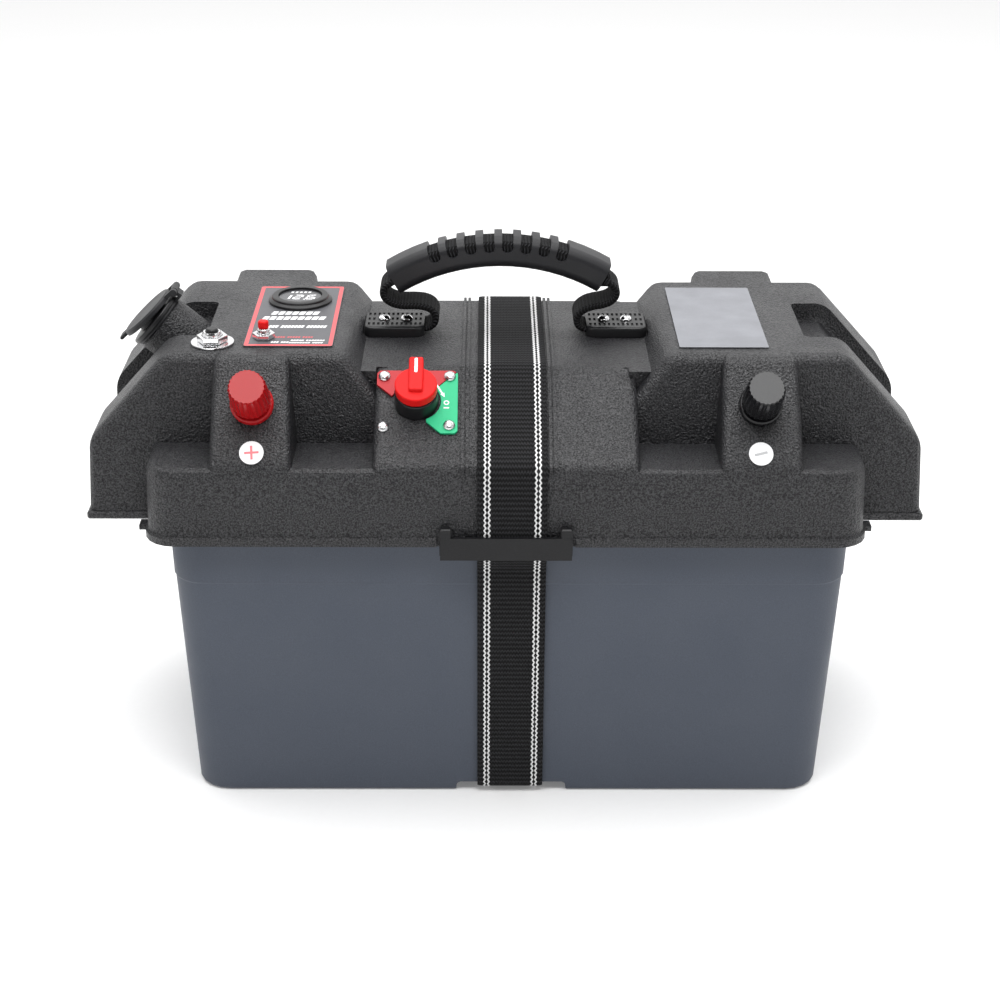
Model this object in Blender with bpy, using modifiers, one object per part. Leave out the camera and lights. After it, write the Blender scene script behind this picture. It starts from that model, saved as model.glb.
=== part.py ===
"""Portable battery box: a strapped tub and lid with built-in power fittings.

Lengths are written in millimetres and turned into metres when a mesh is made.
The origin is the centre of the base, +Z is up, +X is right and -Y is the front.
"""

import math

import bmesh
import bpy
from mathutils import Matrix, Vector

MM = 0.001
GAP = 0.3

# Tub
TUB_X = 2.2
TUB_WALL = 3.0
TUB_TOP_Z = 179.0
TUB_STEP_Z = 140.0
NOTCH_X = 4.0
NOTCH_HALF_X = 32.0
NOTCH_TOP_Z = 6.0

# Lid
RIM_Z = 168.0
SKIRT_TOP_Z = 212.0
SKIRT_HALF_X = 197.5
SKIRT_HALF_Y = 114.0
SHELL = 3.0
PLATEAU_Z = 261.5
PLATEAU_FRONT_Y = -66.5
PLATEAU_BACK_Y = 65.5
PLATEAU_OUTER_X = 188.0
EAR_X = 231.8
EAR_LIP_X = 234.3
COLUMN_IN_X = 116.0
COLUMN_OUT_X = 160.5
COLUMN_TOP_Y = -69.0
FACE_FOOT_Y = -112.0
FACE_FOOT_Z = 213.5
CENTRE_HALF_X = 72.5
CENTRE_TOP_Z = 249.0
CENTRE_CREASE_Y = -53.0
CENTRE_BACK_Y = 64.0
FILLET = 5.5

# Hand channels
CHANNEL_X = 167.7
CHANNEL_FRONT_Y = -36.0
CHANNEL_BACK_Y = 21.5
CHANNEL_DEPTH = 11.0
SLOPE_CHANNEL_DEPTH = 10.0

# Strap
STRAP_X = 3.3
STRAP_WIDE = 38.0
STRAP_THICK = 1.8
GUIDE_Y = 118.5

# Handle
HANDLE_Y = 10.5
HANDLE_AXIS_Z = 258.0
GRIP_CENTRE = (-4.2, 298.6)
GRIP_RADIUS = 118.0
GRIP_HALF_ANGLE = 30.8
GRIP_TILT = 0.7
GRIP_THICK = 18.0
GRIP_DEEP = 24.0
SLOT_COUNT = 8
SLOT_PITCH = 10.2
SLOT_WIDE = 6.4

# Panel fittings
VOLTMETER_AT = (-120.2, 22.0)
MAIN_BREAKER_AT = (-163.0, -49.0)
AUX_BREAKER_AT = (-135.2, -42.0)
LABEL_IN_X = 96.0
LABEL_OUT_X = 145.5
LABEL_FRONT_Y = -55.0
LABEL_BACK_Y = 48.0
TERMINAL_X = 137.8
TERMINAL_UP = 36.0
STICKER_UP = 8.5
ISOLATOR_X = -49.2
ISOLATOR_UP = 44.2
ISOLATOR_SCREW_X = 18.0
ISOLATOR_SCREW_UP = 16.8
ANCHOR_IN_X = 46.5
ANCHOR_OUT_X = 82.0
ANCHOR_SCREWS_X = (57.5, 70.5)

MATERIALS = {
    "tub_plastic": ((0.095, 0.11, 0.135), 0.0, 0.45),
    "lid_plastic": ((0.035, 0.036, 0.04), 0.0, 0.6),
    "black_plastic": ((0.012, 0.012, 0.013), 0.0, 0.3),
    "grey_plastic": ((0.12, 0.12, 0.13), 0.0, 0.5),
    "red_plastic": ((0.72, 0.02, 0.02), 0.0, 0.25),
    "green_plastic": ((0.02, 0.36, 0.16), 0.0, 0.4),
    "webbing": ((0.03, 0.03, 0.032), 0.0, 0.85),
    "handle_rubber": ((0.045, 0.045, 0.05), 0.0, 0.5),
    "chrome": ((0.75, 0.75, 0.76), 1.0, 0.15),
    "steel": ((0.6, 0.6, 0.6), 1.0, 0.3),
    "brass": ((0.75, 0.55, 0.25), 1.0, 0.3),
    "label_film": ((0.5, 0.5, 0.52), 0.0, 0.4),
    "display": ((0.02, 0.005, 0.005), 0.0, 0.1),
    "cable_red": ((0.6, 0.02, 0.02), 0.0, 0.5),
}


def clear_scene():
    for obj in list(bpy.data.objects):
        bpy.data.objects.remove(obj, do_unlink=True)


def make_collection(name, hidden=False):
    collection = bpy.data.collections.new(name)
    bpy.context.scene.collection.children.link(collection)
    collection.hide_render = hidden
    return collection


def make_materials():
    made = {}
    for name, (colour, metallic, roughness) in MATERIALS.items():
        material = bpy.data.materials.new(name)
        material.use_nodes = True
        shader = material.node_tree.nodes["Principled BSDF"]
        shader.inputs["Base Color"].default_value = (*colour, 1.0)
        shader.inputs["Metallic"].default_value = metallic
        shader.inputs["Roughness"].default_value = roughness
        made[name] = material
    return made


clear_scene()
PARTS = make_collection("battery_box")
CUTTERS = make_collection("cutters", hidden=True)
SLOTS = make_materials()


# Meshes


def add_object(name, mesh, material=None, matrix=None):
    """Link a mesh as a visible part, or as a hidden cutter when it has no material."""
    obj = bpy.data.objects.new(name, mesh)
    if matrix is not None:
        obj.matrix_world = matrix
    if material is None:
        CUTTERS.objects.link(obj)
        obj.hide_render = True
        obj.display_type = "WIRE"
    else:
        PARTS.objects.link(obj)
        mesh.materials.append(SLOTS[material])
    return obj


def finish_mesh(name, bm, smooth=False):
    bmesh.ops.recalc_face_normals(bm, faces=bm.faces)
    mesh = bpy.data.meshes.new(name)
    bm.to_mesh(mesh)
    bm.free()
    if smooth:
        mesh.shade_smooth()
        mesh.set_sharp_from_angle(angle=math.radians(35))
    return mesh


def millimetres(points):
    return [Vector(point) * MM for point in points]


def box(name, low, high, material=None, matrix=None):
    bm = bmesh.new()
    bmesh.ops.create_cube(bm, size=1.0)
    for vert in bm.verts:
        for axis in range(3):
            end = high[axis] if vert.co[axis] > 0 else low[axis]
            vert.co[axis] = end * MM
    return add_object(name, finish_mesh(name, bm), material, matrix)


def convex_block(name, planes, material=None, matrix=None):
    """The solid inside every plane; a plane is a point and an outward normal."""
    bm = bmesh.new()
    bmesh.ops.create_cube(bm, size=2.0)
    for point, normal in planes:
        geometry = bm.verts[:] + bm.edges[:] + bm.faces[:]
        cut = bmesh.ops.bisect_plane(
            bm,
            geom=geometry,
            dist=1e-7,
            plane_co=Vector(point) * MM,
            plane_no=Vector(normal),
            clear_outer=True,
        )
        rim = [item for item in cut["geom_cut"] if isinstance(item, bmesh.types.BMEdge)]
        if rim:
            bmesh.ops.contextual_create(bm, geom=rim)
    bmesh.ops.remove_doubles(bm, verts=bm.verts, dist=1e-6)
    return add_object(name, finish_mesh(name, bm), material, matrix)


def inset_planes(planes, amount):
    moved = []
    for point, normal in planes:
        unit = Vector(normal).normalized()
        moved.append((Vector(point) - unit * amount, unit))
    return moved


def bridge(bm, first, second):
    count = len(first)
    for i in range(count):
        j = (i + 1) % count
        bm.faces.new((first[i], first[j], second[j], second[i]))


def loft(name, rings, material=None, matrix=None, smooth=False, closed=False):
    """Skin a list of equal-length rings, capped at both ends unless it closes on itself."""
    bm = bmesh.new()
    made = [[bm.verts.new(co) for co in millimetres(ring)] for ring in rings]
    for first, second in zip(made, made[1:]):
        bridge(bm, first, second)
    if closed:
        bridge(bm, made[-1], made[0])
    else:
        bm.faces.new(made[0])
        bm.faces.new(made[-1])
    return add_object(name, finish_mesh(name, bm, smooth), material, matrix)


def rounded_ring(half_x, half_y, radius, z, steps=5, centre=(0.0, 0.0)):
    points = []
    corners = ((1, 1, 0), (-1, 1, 90), (-1, -1, 180), (1, -1, 270))
    for side_x, side_y, start in corners:
        for step in range(steps + 1):
            angle = math.radians(start + 90.0 * step / steps)
            x = side_x * (half_x - radius) + radius * math.cos(angle)
            y = side_y * (half_y - radius) + radius * math.sin(angle)
            points.append((x + centre[0], y + centre[1], z))
    return points


def screwed(name, points, closed, material, matrix, segments):
    """Spin a profile about local Z; its outer side runs from top to bottom."""
    bm = bmesh.new()
    verts = [bm.verts.new((radius * MM, 0.0, z * MM)) for radius, z in points]
    for first, second in zip(verts, verts[1:]):
        bm.edges.new((first, second))
    if closed:
        bm.edges.new((verts[-1], verts[0]))
    mesh = bpy.data.meshes.new(name)
    bm.to_mesh(mesh)
    bm.free()
    obj = add_object(name, mesh, material, matrix)
    modifier = obj.modifiers.new("turn", "SCREW")
    modifier.axis = "Z"
    modifier.steps = segments
    modifier.render_steps = segments
    modifier.use_merge_vertices = True
    modifier.merge_threshold = 0.00001
    modifier.use_smooth_shade = True
    return obj


def turned(name, profile, material=None, matrix=None, segments=32):
    """A solid of revolution about local Z, from (radius, z) pairs listed bottom to top."""
    points = [(0.0, profile[-1][1])] + profile[::-1] + [(0.0, profile[0][1])]
    return screwed(name, points, False, material, matrix, segments)


def turned_ring(name, profile, material=None, matrix=None, segments=32):
    """A ring about local Z; the loop starts inside at the bottom and goes out, up and back."""
    return screwed(name, profile[::-1], True, material, matrix, segments)


def extruded(name, outline, low, high, material=None, matrix=None):
    """An outline in local XY extruded from low to high along local Z."""
    bm = bmesh.new()
    verts = [bm.verts.new((x * MM, y * MM, low * MM)) for x, y in outline]
    face = bm.faces.new(verts)
    raised = bmesh.ops.extrude_face_region(bm, geom=[face])
    lifted = [item for item in raised["geom"] if isinstance(item, bmesh.types.BMVert)]
    bmesh.ops.translate(bm, verts=lifted, vec=(0.0, 0.0, (high - low) * MM))
    return add_object(name, finish_mesh(name, bm), material, matrix)


def swept(name, path, sizes, material=None, matrix=None, corner=None, steps=2, smooth=True):
    """Sweep a rounded rectangle along an (x, z) path; sizes are (across y, thickness)."""
    rings = []
    last = len(path) - 1
    for index, (x, z) in enumerate(path):
        before = Vector(path[max(index - 1, 0)])
        after = Vector(path[min(index + 1, last)])
        ahead = (after - before).normalized()
        side = Vector((-ahead.y, ahead.x))
        wide, thick = sizes[index]
        radius = corner if corner is not None else thick * 0.45
        section = rounded_ring(wide / 2, thick / 2, radius, 0.0, steps)
        ring = [(x + side.x * b, a, z + side.y * b) for a, b, _ in section]
        rings.append(ring)
    return loft(name, rings, material, matrix, smooth=smooth)


def frame_at(point, normal, right=(1, 0, 0)):
    """A matrix at a point with local Z along the normal and local X towards the right."""
    z_axis = Vector(normal).normalized()
    x_axis = Vector(right) - z_axis * Vector(right).dot(z_axis)
    x_axis.normalize()
    y_axis = z_axis.cross(x_axis)
    matrix = Matrix((x_axis, y_axis, z_axis)).transposed().to_4x4()
    matrix.translation = Vector(point) * MM
    return matrix


def moved(matrix, x=0.0, y=0.0, z=0.0):
    return matrix @ Matrix.Translation(Vector((x, y, z)) * MM)


def hang(obj, pivot):
    """Parent a moving piece to an empty that stands on its joint axis."""
    empty = bpy.data.objects.new(f"{obj.name}_pivot", None)
    empty.matrix_world = pivot
    empty.empty_display_size = 0.01
    PARTS.objects.link(empty)
    world = obj.matrix_world.copy()
    obj.parent = empty
    obj.matrix_parent_inverse = pivot.inverted()
    obj.matrix_world = world


def combine(target, other, operation):
    modifier = target.modifiers.new(other.name, "BOOLEAN")
    modifier.operation = operation
    modifier.solver = "EXACT"
    modifier.object = other


def cut(target, *others):
    for other in others:
        combine(target, other, "DIFFERENCE")


def join(target, *others):
    for other in others:
        combine(target, other, "UNION")


def bevel(obj, width, segments=2, angle=25.0):
    modifier = obj.modifiers.new("edges", "BEVEL")
    modifier.width = width * MM
    modifier.segments = segments
    modifier.limit_method = "ANGLE"
    modifier.angle_limit = math.radians(angle)
    return obj


def tub_section(z, out=0.0):
    """Half sizes of the tub's outer wall at one height."""
    share = min(max(z / 160.0, 0.0), 1.0)
    return 182.4 + 6.5 * share + out, 96.5 + 8.0 * share + out


# Tub


def tub_ring(half_x, half_y, radius, z):
    return rounded_ring(half_x, half_y, radius, z, centre=(TUB_X, 0.0))


def build_tub():
    rings = []
    for inset, z in ((3.0, 0.0), (1.5, 0.4), (0.4, 1.5), (0.0, 3.0)):
        half_x, half_y = tub_section(z, -inset)
        rings.append(tub_ring(half_x, half_y, 19.0 - inset, z))
    for out, z in ((0.0, TUB_STEP_Z - 0.6), (0.6, TUB_STEP_Z + 0.2), (0.6, TUB_TOP_Z - 4.0)):
        half_x, half_y = tub_section(z, out)
        rings.append(tub_ring(half_x, half_y, 19.0, z))
    rings.append(tub_ring(190.9, 108.8, 20.0, TUB_TOP_Z - 3.0))
    rings.append(tub_ring(190.9, 108.8, 20.0, TUB_TOP_Z))
    tub = loft("tub", rings, "tub_plastic")
    inner = []
    for inset, z in ((7.0, 10.0), (3.5, 11.5), (TUB_WALL, 15.0)):
        half_x, half_y = tub_section(z, -inset)
        inner.append(tub_ring(half_x, half_y, 19.0 - inset, z))
    half_x, half_y = tub_section(160.0, -TUB_WALL)
    inner.append(tub_ring(half_x, half_y, 16.0, 160.0))
    inner.append(tub_ring(half_x, half_y, 16.0, TUB_TOP_Z + 10.0))
    cut(tub, loft("tub_hollow", inner))
    low = (NOTCH_X - NOTCH_HALF_X, -130, -5)
    notch = box("tub_notch", low, (NOTCH_X + NOTCH_HALF_X, 130, NOTCH_TOP_Z))
    cut(tub, bevel(notch, 2.5, 2))
    return tub


# Lid


def end_planes(side):
    """The end block: plateau, slope, ear side, and drafted front and back walls."""
    slope = Vector((side * 48.5, 0.0, EAR_X - PLATEAU_OUTER_X))
    return [
        ((0, 0, PLATEAU_Z), (0, 0, 1)),
        ((side * PLATEAU_OUTER_X, 0, PLATEAU_Z), slope),
        ((side * EAR_X, 0, 213.0), (side, 0, 0.035)),
        ((side * 80.5, 0, CENTRE_TOP_Z), (-side, 0, 0.76)),
        ((0, PLATEAU_FRONT_Y, PLATEAU_Z), (0, -1, 0.144)),
        ((0, PLATEAU_BACK_Y, PLATEAU_Z), (0, 1, 0.065)),
    ]


def column_planes(side, front):
    """A sloping column that carries a terminal at the front, or stiffens the back."""
    face = Vector((0.0, -front * 48.0, 43.0))
    inner = COLUMN_IN_X if front > 0 else COLUMN_IN_X - 3.0
    outer = COLUMN_OUT_X if front > 0 else COLUMN_OUT_X + 3.0
    top_y = COLUMN_TOP_Y if front > 0 else 86.0
    planes = [
        ((0, 0, PLATEAU_Z), (0, 0, 1)),
        ((0, top_y, PLATEAU_Z), face),
        ((0, -front * 112.0, 0), (0, -front, 0)),
        ((side * (inner + 1.5), 0, 240), (-side, 0, 0.06)),
        ((side * outer, 0, 240), (side, 0, 0.0)),
    ]
    if front < 0:
        planes[1] = ((0, top_y, PLATEAU_Z), (0, 48.0, 28.0))
    return planes


def centre_planes(half_x=CENTRE_HALF_X):
    face = Vector((0.0, -35.5, 59.0))
    back = Vector((0.0, 35.5, 48.0))
    return [
        ((0, 0, CENTRE_TOP_Z), (0, 0, 1)),
        ((0, CENTRE_CREASE_Y, CENTRE_TOP_Z), face),
        ((0, CENTRE_BACK_Y, CENTRE_TOP_Z), back),
        ((0, FACE_FOOT_Y, 0), (0, -1, 0)),
        ((0, -FACE_FOOT_Y, 0), (0, 1, 0)),
        ((half_x, 0, 0), (1, 0, 0)),
        ((-half_x, 0, 0), (-1, 0, 0)),
    ]


def ledge_planes(side, front_y, inner_x):
    """The flat ledge between the centre block and an end block."""
    return [
        ((0, 0, CENTRE_TOP_Z), (0, 0, 1)),
        ((0, front_y, 0), (0, -1, 0)),
        ((0, 60.0, 0), (0, 1, 0)),
        ((side * 90.0, 0, 0), (side, 0, 0)),
        ((side * inner_x, 0, 0), (-side, 0, 0)),
    ]


def above(z):
    return [((0, 0, z), (0, 0, -1))]


def skirt_rings(inset, low_z, high_z):
    rings = []
    for drop, z in ((0.0, low_z), (1.3, high_z - 5.0), (2.6, high_z - 1.5), (5.5, high_z)):
        half_x = SKIRT_HALF_X - inset - drop
        half_y = SKIRT_HALF_Y - inset - drop
        rings.append(rounded_ring(half_x, half_y, 17.0 - inset, z))
    return rings


def lid_blocks():
    blocks = []
    for side, word in ((-1, "left"), (1, "right")):
        end = convex_block(f"end_block_{word}", end_planes(side) + above(RIM_Z))
        blocks.append(bevel(end, FILLET, 3))
        lip = box(
            f"ear_lip_{word}",
            (min(side * 190, side * EAR_LIP_X), -80.4, RIM_Z),
            (max(side * 190, side * EAR_LIP_X), 72.2, RIM_Z + 4.5),
        )
        blocks.append(bevel(lip, 1.0, 1))
        lug = box(
            f"rim_lug_{word}",
            (min(side * 190, side * 203), -94.0, RIM_Z + 0.2),
            (max(side * 190, side * 203), -86.0, RIM_Z + 3.0),
        )
        blocks.append(lug)
        front = convex_block(f"column_front_{word}", column_planes(side, 1) + column_ends(1))
        blocks.append(bevel(front, 4.5, 3))
        back = convex_block(f"column_back_{word}", column_planes(side, -1) + column_ends(-1))
        blocks.append(bevel(back, 4.5, 2))
        ledge = ledge_planes(side, CENTRE_CREASE_Y + 0.7, 66.0) + above(206.4)
        blocks.append(convex_block(f"ledge_{word}", ledge))
        jog_x = 72.1 if side < 0 else 68.2
        jog = ledge_planes(side, -59.0, jog_x) + above(206.2)
        blocks.append(convex_block(f"ledge_jog_{word}", jog))
    blocks.append(bevel(convex_block("centre_block", centre_planes() + above(205)), 4.0, 3))
    for x in (STRAP_X - 25.8, STRAP_X + 22.0):
        for shift in (-1.3, 1.3):
            rib = inset_planes(centre_planes()[:3], -1.0)
            rib += [((0, -112.6, 0), (0, -1, 0)), ((0, 112.6, 0), (0, 1, 0))]
            rib += [((x + shift + 0.8, 0, 0), (1, 0, 0)), ((x + shift - 0.8, 0, 0), (-1, 0, 0))]
            blocks.append(convex_block(f"strap_rib_{x + shift:.0f}", rib + above(204)))
    return blocks


def column_ends(front):
    return [((0, -front * 50.0, 0), (0, front, 0)), ((0, 0, 204.0), (0, 0, -1))]


def channel_planes(side, grow, deep):
    """The two convex halves of a hand channel: flat floor, then a floor along the slope."""
    slope = Vector((side * 48.5, 0.0, EAR_X - PLATEAU_OUTER_X)).normalized()
    walls = [
        ((0, CHANNEL_FRONT_Y - grow, 0), (0, -1, 0)),
        ((0, CHANNEL_BACK_Y + grow, 0), (0, 1, 0)),
        ((side * (CHANNEL_X - grow), 0, 0), (-side, 0, 0)),
    ]
    floor = [((0, 0, PLATEAU_Z - CHANNEL_DEPTH - deep), (0, 0, -1))]
    edge = Vector((side * PLATEAU_OUTER_X, 0.0, PLATEAU_Z))
    low = [(edge - slope * (SLOPE_CHANNEL_DEPTH + deep), -slope)]
    return walls + floor, walls + low


def lid_cavities():
    holes = [loft("skirt_cavity", skirt_rings(SHELL, RIM_Z - 10.0, SKIRT_TOP_Z - SHELL))]
    for side, word in ((-1, "left"), (1, "right")):
        end = inset_planes(end_planes(side), SHELL)
        inboard = [((side * 193.0, 0, 0), (side, 0, 0))]
        holes.append(convex_block(f"end_cavity_{word}", end + inboard + above(205.5)))
        outboard = inset_planes(end_planes(side), SHELL + 0.11)
        holes.append(convex_block(f"slope_cavity_{word}", outboard + above(SKIRT_TOP_Z)))
        ear = inset_planes(end_planes(side), SHELL + 0.23)
        ear = ear[:3] + ear[4:]
        ear += [((side * (SKIRT_HALF_X + 1.0), 0, 0), (-side, 0, 0))]
        ear += [((0, 0, SKIRT_TOP_Z - SHELL), (0, 0, 1))]
        holes.append(convex_block(f"ear_pocket_{word}", ear + above(RIM_Z - 8.0)))
        for front, place in ((1, "front"), (-1, "back")):
            planes = inset_planes(column_planes(side, front), SHELL + 0.17)
            planes += [((0, -front * 45.0, 0), (0, front, 0))] + above(205.2)
            holes.append(convex_block(f"column_cavity_{place}_{word}", planes))
    centre = inset_planes(centre_planes(), SHELL + 0.07)
    holes.append(convex_block("centre_cavity", centre + above(205.4)))
    for side, word in ((-1, "left"), (1, "right")):
        ledge = inset_planes(ledge_planes(side, -59.0, 72.1), SHELL + 0.31)
        ledge[4] = ((side * 75.2, 0, 0), (-side, 0, 0))
        holes.append(convex_block(f"ledge_cavity_{word}", ledge + above(205.6)))
    return holes


def socket_frame():
    """Local Z points out of the left slope and local X runs up the slope."""
    return frame_at((-193.5, -7.25, 255.15), (-0.756, 0, 0.654), (0.654, 0, 0.756))


def terminal_frame(side):
    up = Vector((0.0, 0.667, 0.745)) * TERMINAL_UP
    foot = Vector((side * TERMINAL_X, FACE_FOOT_Y, FACE_FOOT_Z))
    return frame_at(foot + up, (0, -0.745, 0.667))


def face_frame(x, up):
    """A point on the centre block's slanted face, with local Y running up the face."""
    along = Vector((0.0, 0.8569, 0.5156))
    foot = Vector((x, FACE_FOOT_Y, FACE_FOOT_Z))
    return frame_at(foot + along * up, (0, -0.5156, 0.8569))


def hole(name, radius, matrix, low=-30.0, high=30.0, segments=24):
    return turned(name, [(radius, low), (radius, high)], None, matrix, segments)


def panel_frame(x, y, z=PLATEAU_Z):
    return frame_at((x, y, z), (0, 0, 1))


def build_lid():
    lid = loft("lid_shell", skirt_rings(0.0, RIM_Z, SKIRT_TOP_Z), "lid_plastic")
    bead = loft(
        "rim_bead",
        [
            rounded_ring(SKIRT_HALF_X + 1.2, SKIRT_HALF_Y + 1.2, 18.0, RIM_Z),
            rounded_ring(SKIRT_HALF_X + 1.2, SKIRT_HALF_Y + 1.2, 18.0, RIM_Z + 4.0),
            rounded_ring(SKIRT_HALF_X - 1.0, SKIRT_HALF_Y - 1.0, 17.0, RIM_Z + 5.6),
        ],
    )
    for y in (-119.0, 119.0):
        gate = box(
            f"bead_gate_{'front' if y < 0 else 'back'}",
            (-38.0, min(y, y * 0.958), RIM_Z - 2),
            (38.0, max(y, y * 0.958), RIM_Z + 8),
        )
        cut(bead, gate)
    join(lid, bead, *lid_blocks())
    cut(lid, *lid_cavities())
    shoulder = loft("shoulder", [rounded_ring(196.0, 112.0, 16.0, z) for z in (179.3, 182.3)])
    opening = loft("shoulder_opening", [rounded_ring(188.5, 105.2, 14.0, z) for z in (175, 186)])
    cut(shoulder, opening)
    join(lid, shoulder)
    linings = []
    channels = []
    for side, word in ((-1, "left"), (1, "right")):
        end = inset_planes(end_planes(side)[:3], 1.2)
        flat, low = channel_planes(side, SHELL, SHELL)
        linings.append(convex_block(f"lining_flat_{word}", end + flat))
        linings.append(convex_block(f"lining_low_{word}", end + low + above(198.0)))
        flat, low = channel_planes(side, 0.0, 0.0)
        top = [((0, 0, PLATEAU_Z + 20), (0, 0, 1)), ((side * 250, 0, 0), (side, 0, 0))]
        channels.append(bevel(convex_block(f"channel_flat_{word}", flat + top), 3.0, 2, 40.0))
        channels.append(bevel(convex_block(f"channel_low_{word}", low + top + above(190)), 3.0, 2, 40.0))
    join(lid, *linings)
    cut(lid, *channels)
    socket = socket_frame()
    boss = turned("socket_boss", [(16.9, -33.0), (16.9, 5.5), (16.0, 6.5)], None, socket)
    join(lid, boss)
    cut(lid, hole("socket_hole", 14.4, socket, -45.0, 20.0))
    for side, word in ((-1, "left"), (1, "right")):
        cut(lid, hole(f"terminal_hole_{word}", 5.0, terminal_frame(side), segments=16))
        seat = box(
            f"anchor_seat_{word}",
            (min(side * 46.0, side * 82.6), HANDLE_Y - 16, CENTRE_TOP_Z + 0.02),
            (max(side * 46.0, side * 82.6), HANDLE_Y + 16, CENTRE_TOP_Z + 7),
        )
        cut(lid, seat)
        for index, x in enumerate(ANCHOR_SCREWS_X):
            at = panel_frame(side * x, HANDLE_Y, CENTRE_TOP_Z)
            cut(lid, hole(f"anchor_hole_{word}_{index}", 2.0, at, -12, 4, 12))
    cut(lid, hole("isolator_hole", 10.0, face_frame(ISOLATOR_X, ISOLATOR_UP)))
    for index, at in enumerate(isolator_screw_frames()):
        cut(lid, hole(f"isolator_screw_hole_{index}", 2.0, at, -12, 4, 12))
    cut(lid, hole("voltmeter_hole", 15.0, panel_frame(*VOLTMETER_AT), -12, 12))
    cut(lid, hole("main_breaker_hole", 6.0, panel_frame(*MAIN_BREAKER_AT), -12, 12, 20))
    cut(lid, hole("aux_breaker_hole", 4.0, panel_frame(*AUX_BREAKER_AT), -12, 12, 16))
    return lid


# Strap


def strap_piece(name, path):
    """A flat strap along a (y, z) path: a ribbon across X, thickened to both sides."""
    bm = bmesh.new()
    left = STRAP_X - STRAP_WIDE / 2
    verts = [bm.verts.new((left * MM, y * MM, z * MM)) for y, z in path]
    edges = [bm.edges.new(pair) for pair in zip(verts, verts[1:])]
    widened = bmesh.ops.extrude_edge_only(bm, edges=edges)
    far = [item for item in widened["geom"] if isinstance(item, bmesh.types.BMVert)]
    bmesh.ops.translate(bm, verts=far, vec=(STRAP_WIDE * MM, 0.0, 0.0))
    strap = add_object(name, finish_mesh(name, bm), "webbing")
    modifier = strap.modifiers.new("thickness", "SOLIDIFY")
    modifier.thickness = STRAP_THICK * MM
    modifier.offset = 0.0
    modifier.use_even_offset = True
    return strap


def mirrored(path):
    return [(-y, z) for y, z in reversed(path)]


def build_straps():
    upper_front = [
        (-115.3, 168.4),
        (-115.3, 190.0),
        (-114.2, 206.0),
        (-113.7, 212.6),
        (-111.9, 215.3),
        (-80.0, 234.6),
        (-55.0, 249.6),
        (-51.5, 250.4),
    ]
    upper_back = [
        (63.0, 250.4),
        (66.0, 249.6),
        (88.0, 233.0),
        (111.9, 215.6),
        (113.9, 212.6),
        (114.4, 206.0),
        (115.3, 190.0),
        (115.3, 158.0),
        (112.4, 150.0),
        (111.8, 141.0),
    ]
    strap_piece("strap_upper", upper_front + upper_back)
    lower_front = [
        (-115.2, 167.9),
        (-114.8, 163.0),
        (-109.0, 155.0),
        (-106.6, 151.0),
        (-105.7, 140.0),
        (-99.0, 14.0),
        (-99.0, 9.0),
        (-98.2, 5.2),
        (-95.2, 3.3),
        (-90.0, 2.95),
    ]
    lower_back = mirrored(lower_front[5:]) + [(103.3, 96.0), (110.2, 102.5), (111.0, 110.5)]
    strap_piece("strap_lower", lower_front + lower_back)
    for sign, word in ((-1, "front"), (1, "rear")):
        build_guide(sign, f"strap_guide_{word}")
    build_buckle()


def build_guide(sign, name):
    outer = sign * GUIDE_Y
    plate = sign * (GUIDE_Y - 2.0)
    guide = box(
        name,
        (-36.0, min(outer, plate), 161.5),
        (36.0, max(outer, plate), 174.7),
        "lid_plastic",
    )
    for side in (-1, 1):
        inner = sign * (SKIRT_HALF_Y + GAP)
        leg = box(
            f"{name}_leg_{side}",
            (min(side * 29.5, side * 36.3), min(sign * 118.3, inner), 163.0),
            (max(side * 29.5, side * 36.3), max(sign * 118.3, inner), 180.0),
        )
        join(guide, bevel(leg, 0.8, 1))


def build_buckle():
    low_y = 109.2
    high_y = 118.2
    female = box(
        "buckle_female",
        (STRAP_X - 25, low_y, 112.0),
        (STRAP_X + 25, high_y, 141.5),
        "black_plastic",
    )
    bevel(female, 2.0, 2)
    throat = box("buckle_throat", (STRAP_X - 21, low_y + 2.5, 100), (STRAP_X + 21, high_y - 2.5, 136))
    slot = box("buckle_strap_slot", (STRAP_X - 20, low_y + 0.9, 137.5), (STRAP_X + 20, low_y + 4.4, 150))
    windows = []
    for side in (-1, 1):
        x = STRAP_X + side * 25
        windows.append(
            box(f"buckle_window_{side}", (x - 5, low_y - 3, 118), (x + 5, high_y + 3, 130))
        )
    cut(female, throat, slot, *windows)
    male = box(
        "buckle_male",
        (STRAP_X - 23, low_y, 101.0),
        (STRAP_X + 23, high_y, 111.4),
        "black_plastic",
    )
    bevel(male, 1.5, 2)
    tongue = box("buckle_tongue", (STRAP_X - 7, low_y + 3.2, 108), (STRAP_X + 7, high_y - 3.2, 134))
    join(male, tongue)
    for side in (-1, 1):
        inner = STRAP_X + side * 12.5
        prong = box(
            f"buckle_prong_{side}",
            (min(inner, inner + side * 7.5), low_y + 3.4, 106.2),
            (max(inner, inner + side * 7.5), high_y - 3.4, 130),
        )
        join(male, bevel(prong, 1.2, 1))
    seat = box("buckle_male_seat", (STRAP_X - 20, low_y - 4, 95), (STRAP_X + 20, low_y + 3.6, 110.9))
    cut(male, seat)


# Handle


def grip_path(count=17, spread=1.0):
    points = []
    for index in range(count):
        angle = math.radians(GRIP_HALF_ANGLE * spread * (2.0 * index / (count - 1) - 1.0))
        x = GRIP_RADIUS * math.sin(angle)
        z = GRIP_RADIUS * (math.cos(angle) - 1.0)
        tilt = math.radians(GRIP_TILT)
        points.append(
            (
                GRIP_CENTRE[0] + x * math.cos(tilt) - z * math.sin(tilt),
                GRIP_CENTRE[1] + x * math.sin(tilt) + z * math.cos(tilt),
            )
        )
    return points


def handle_matrix():
    return Matrix.Translation(Vector((0.0, HANDLE_Y, 0.0)) * MM)


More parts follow.
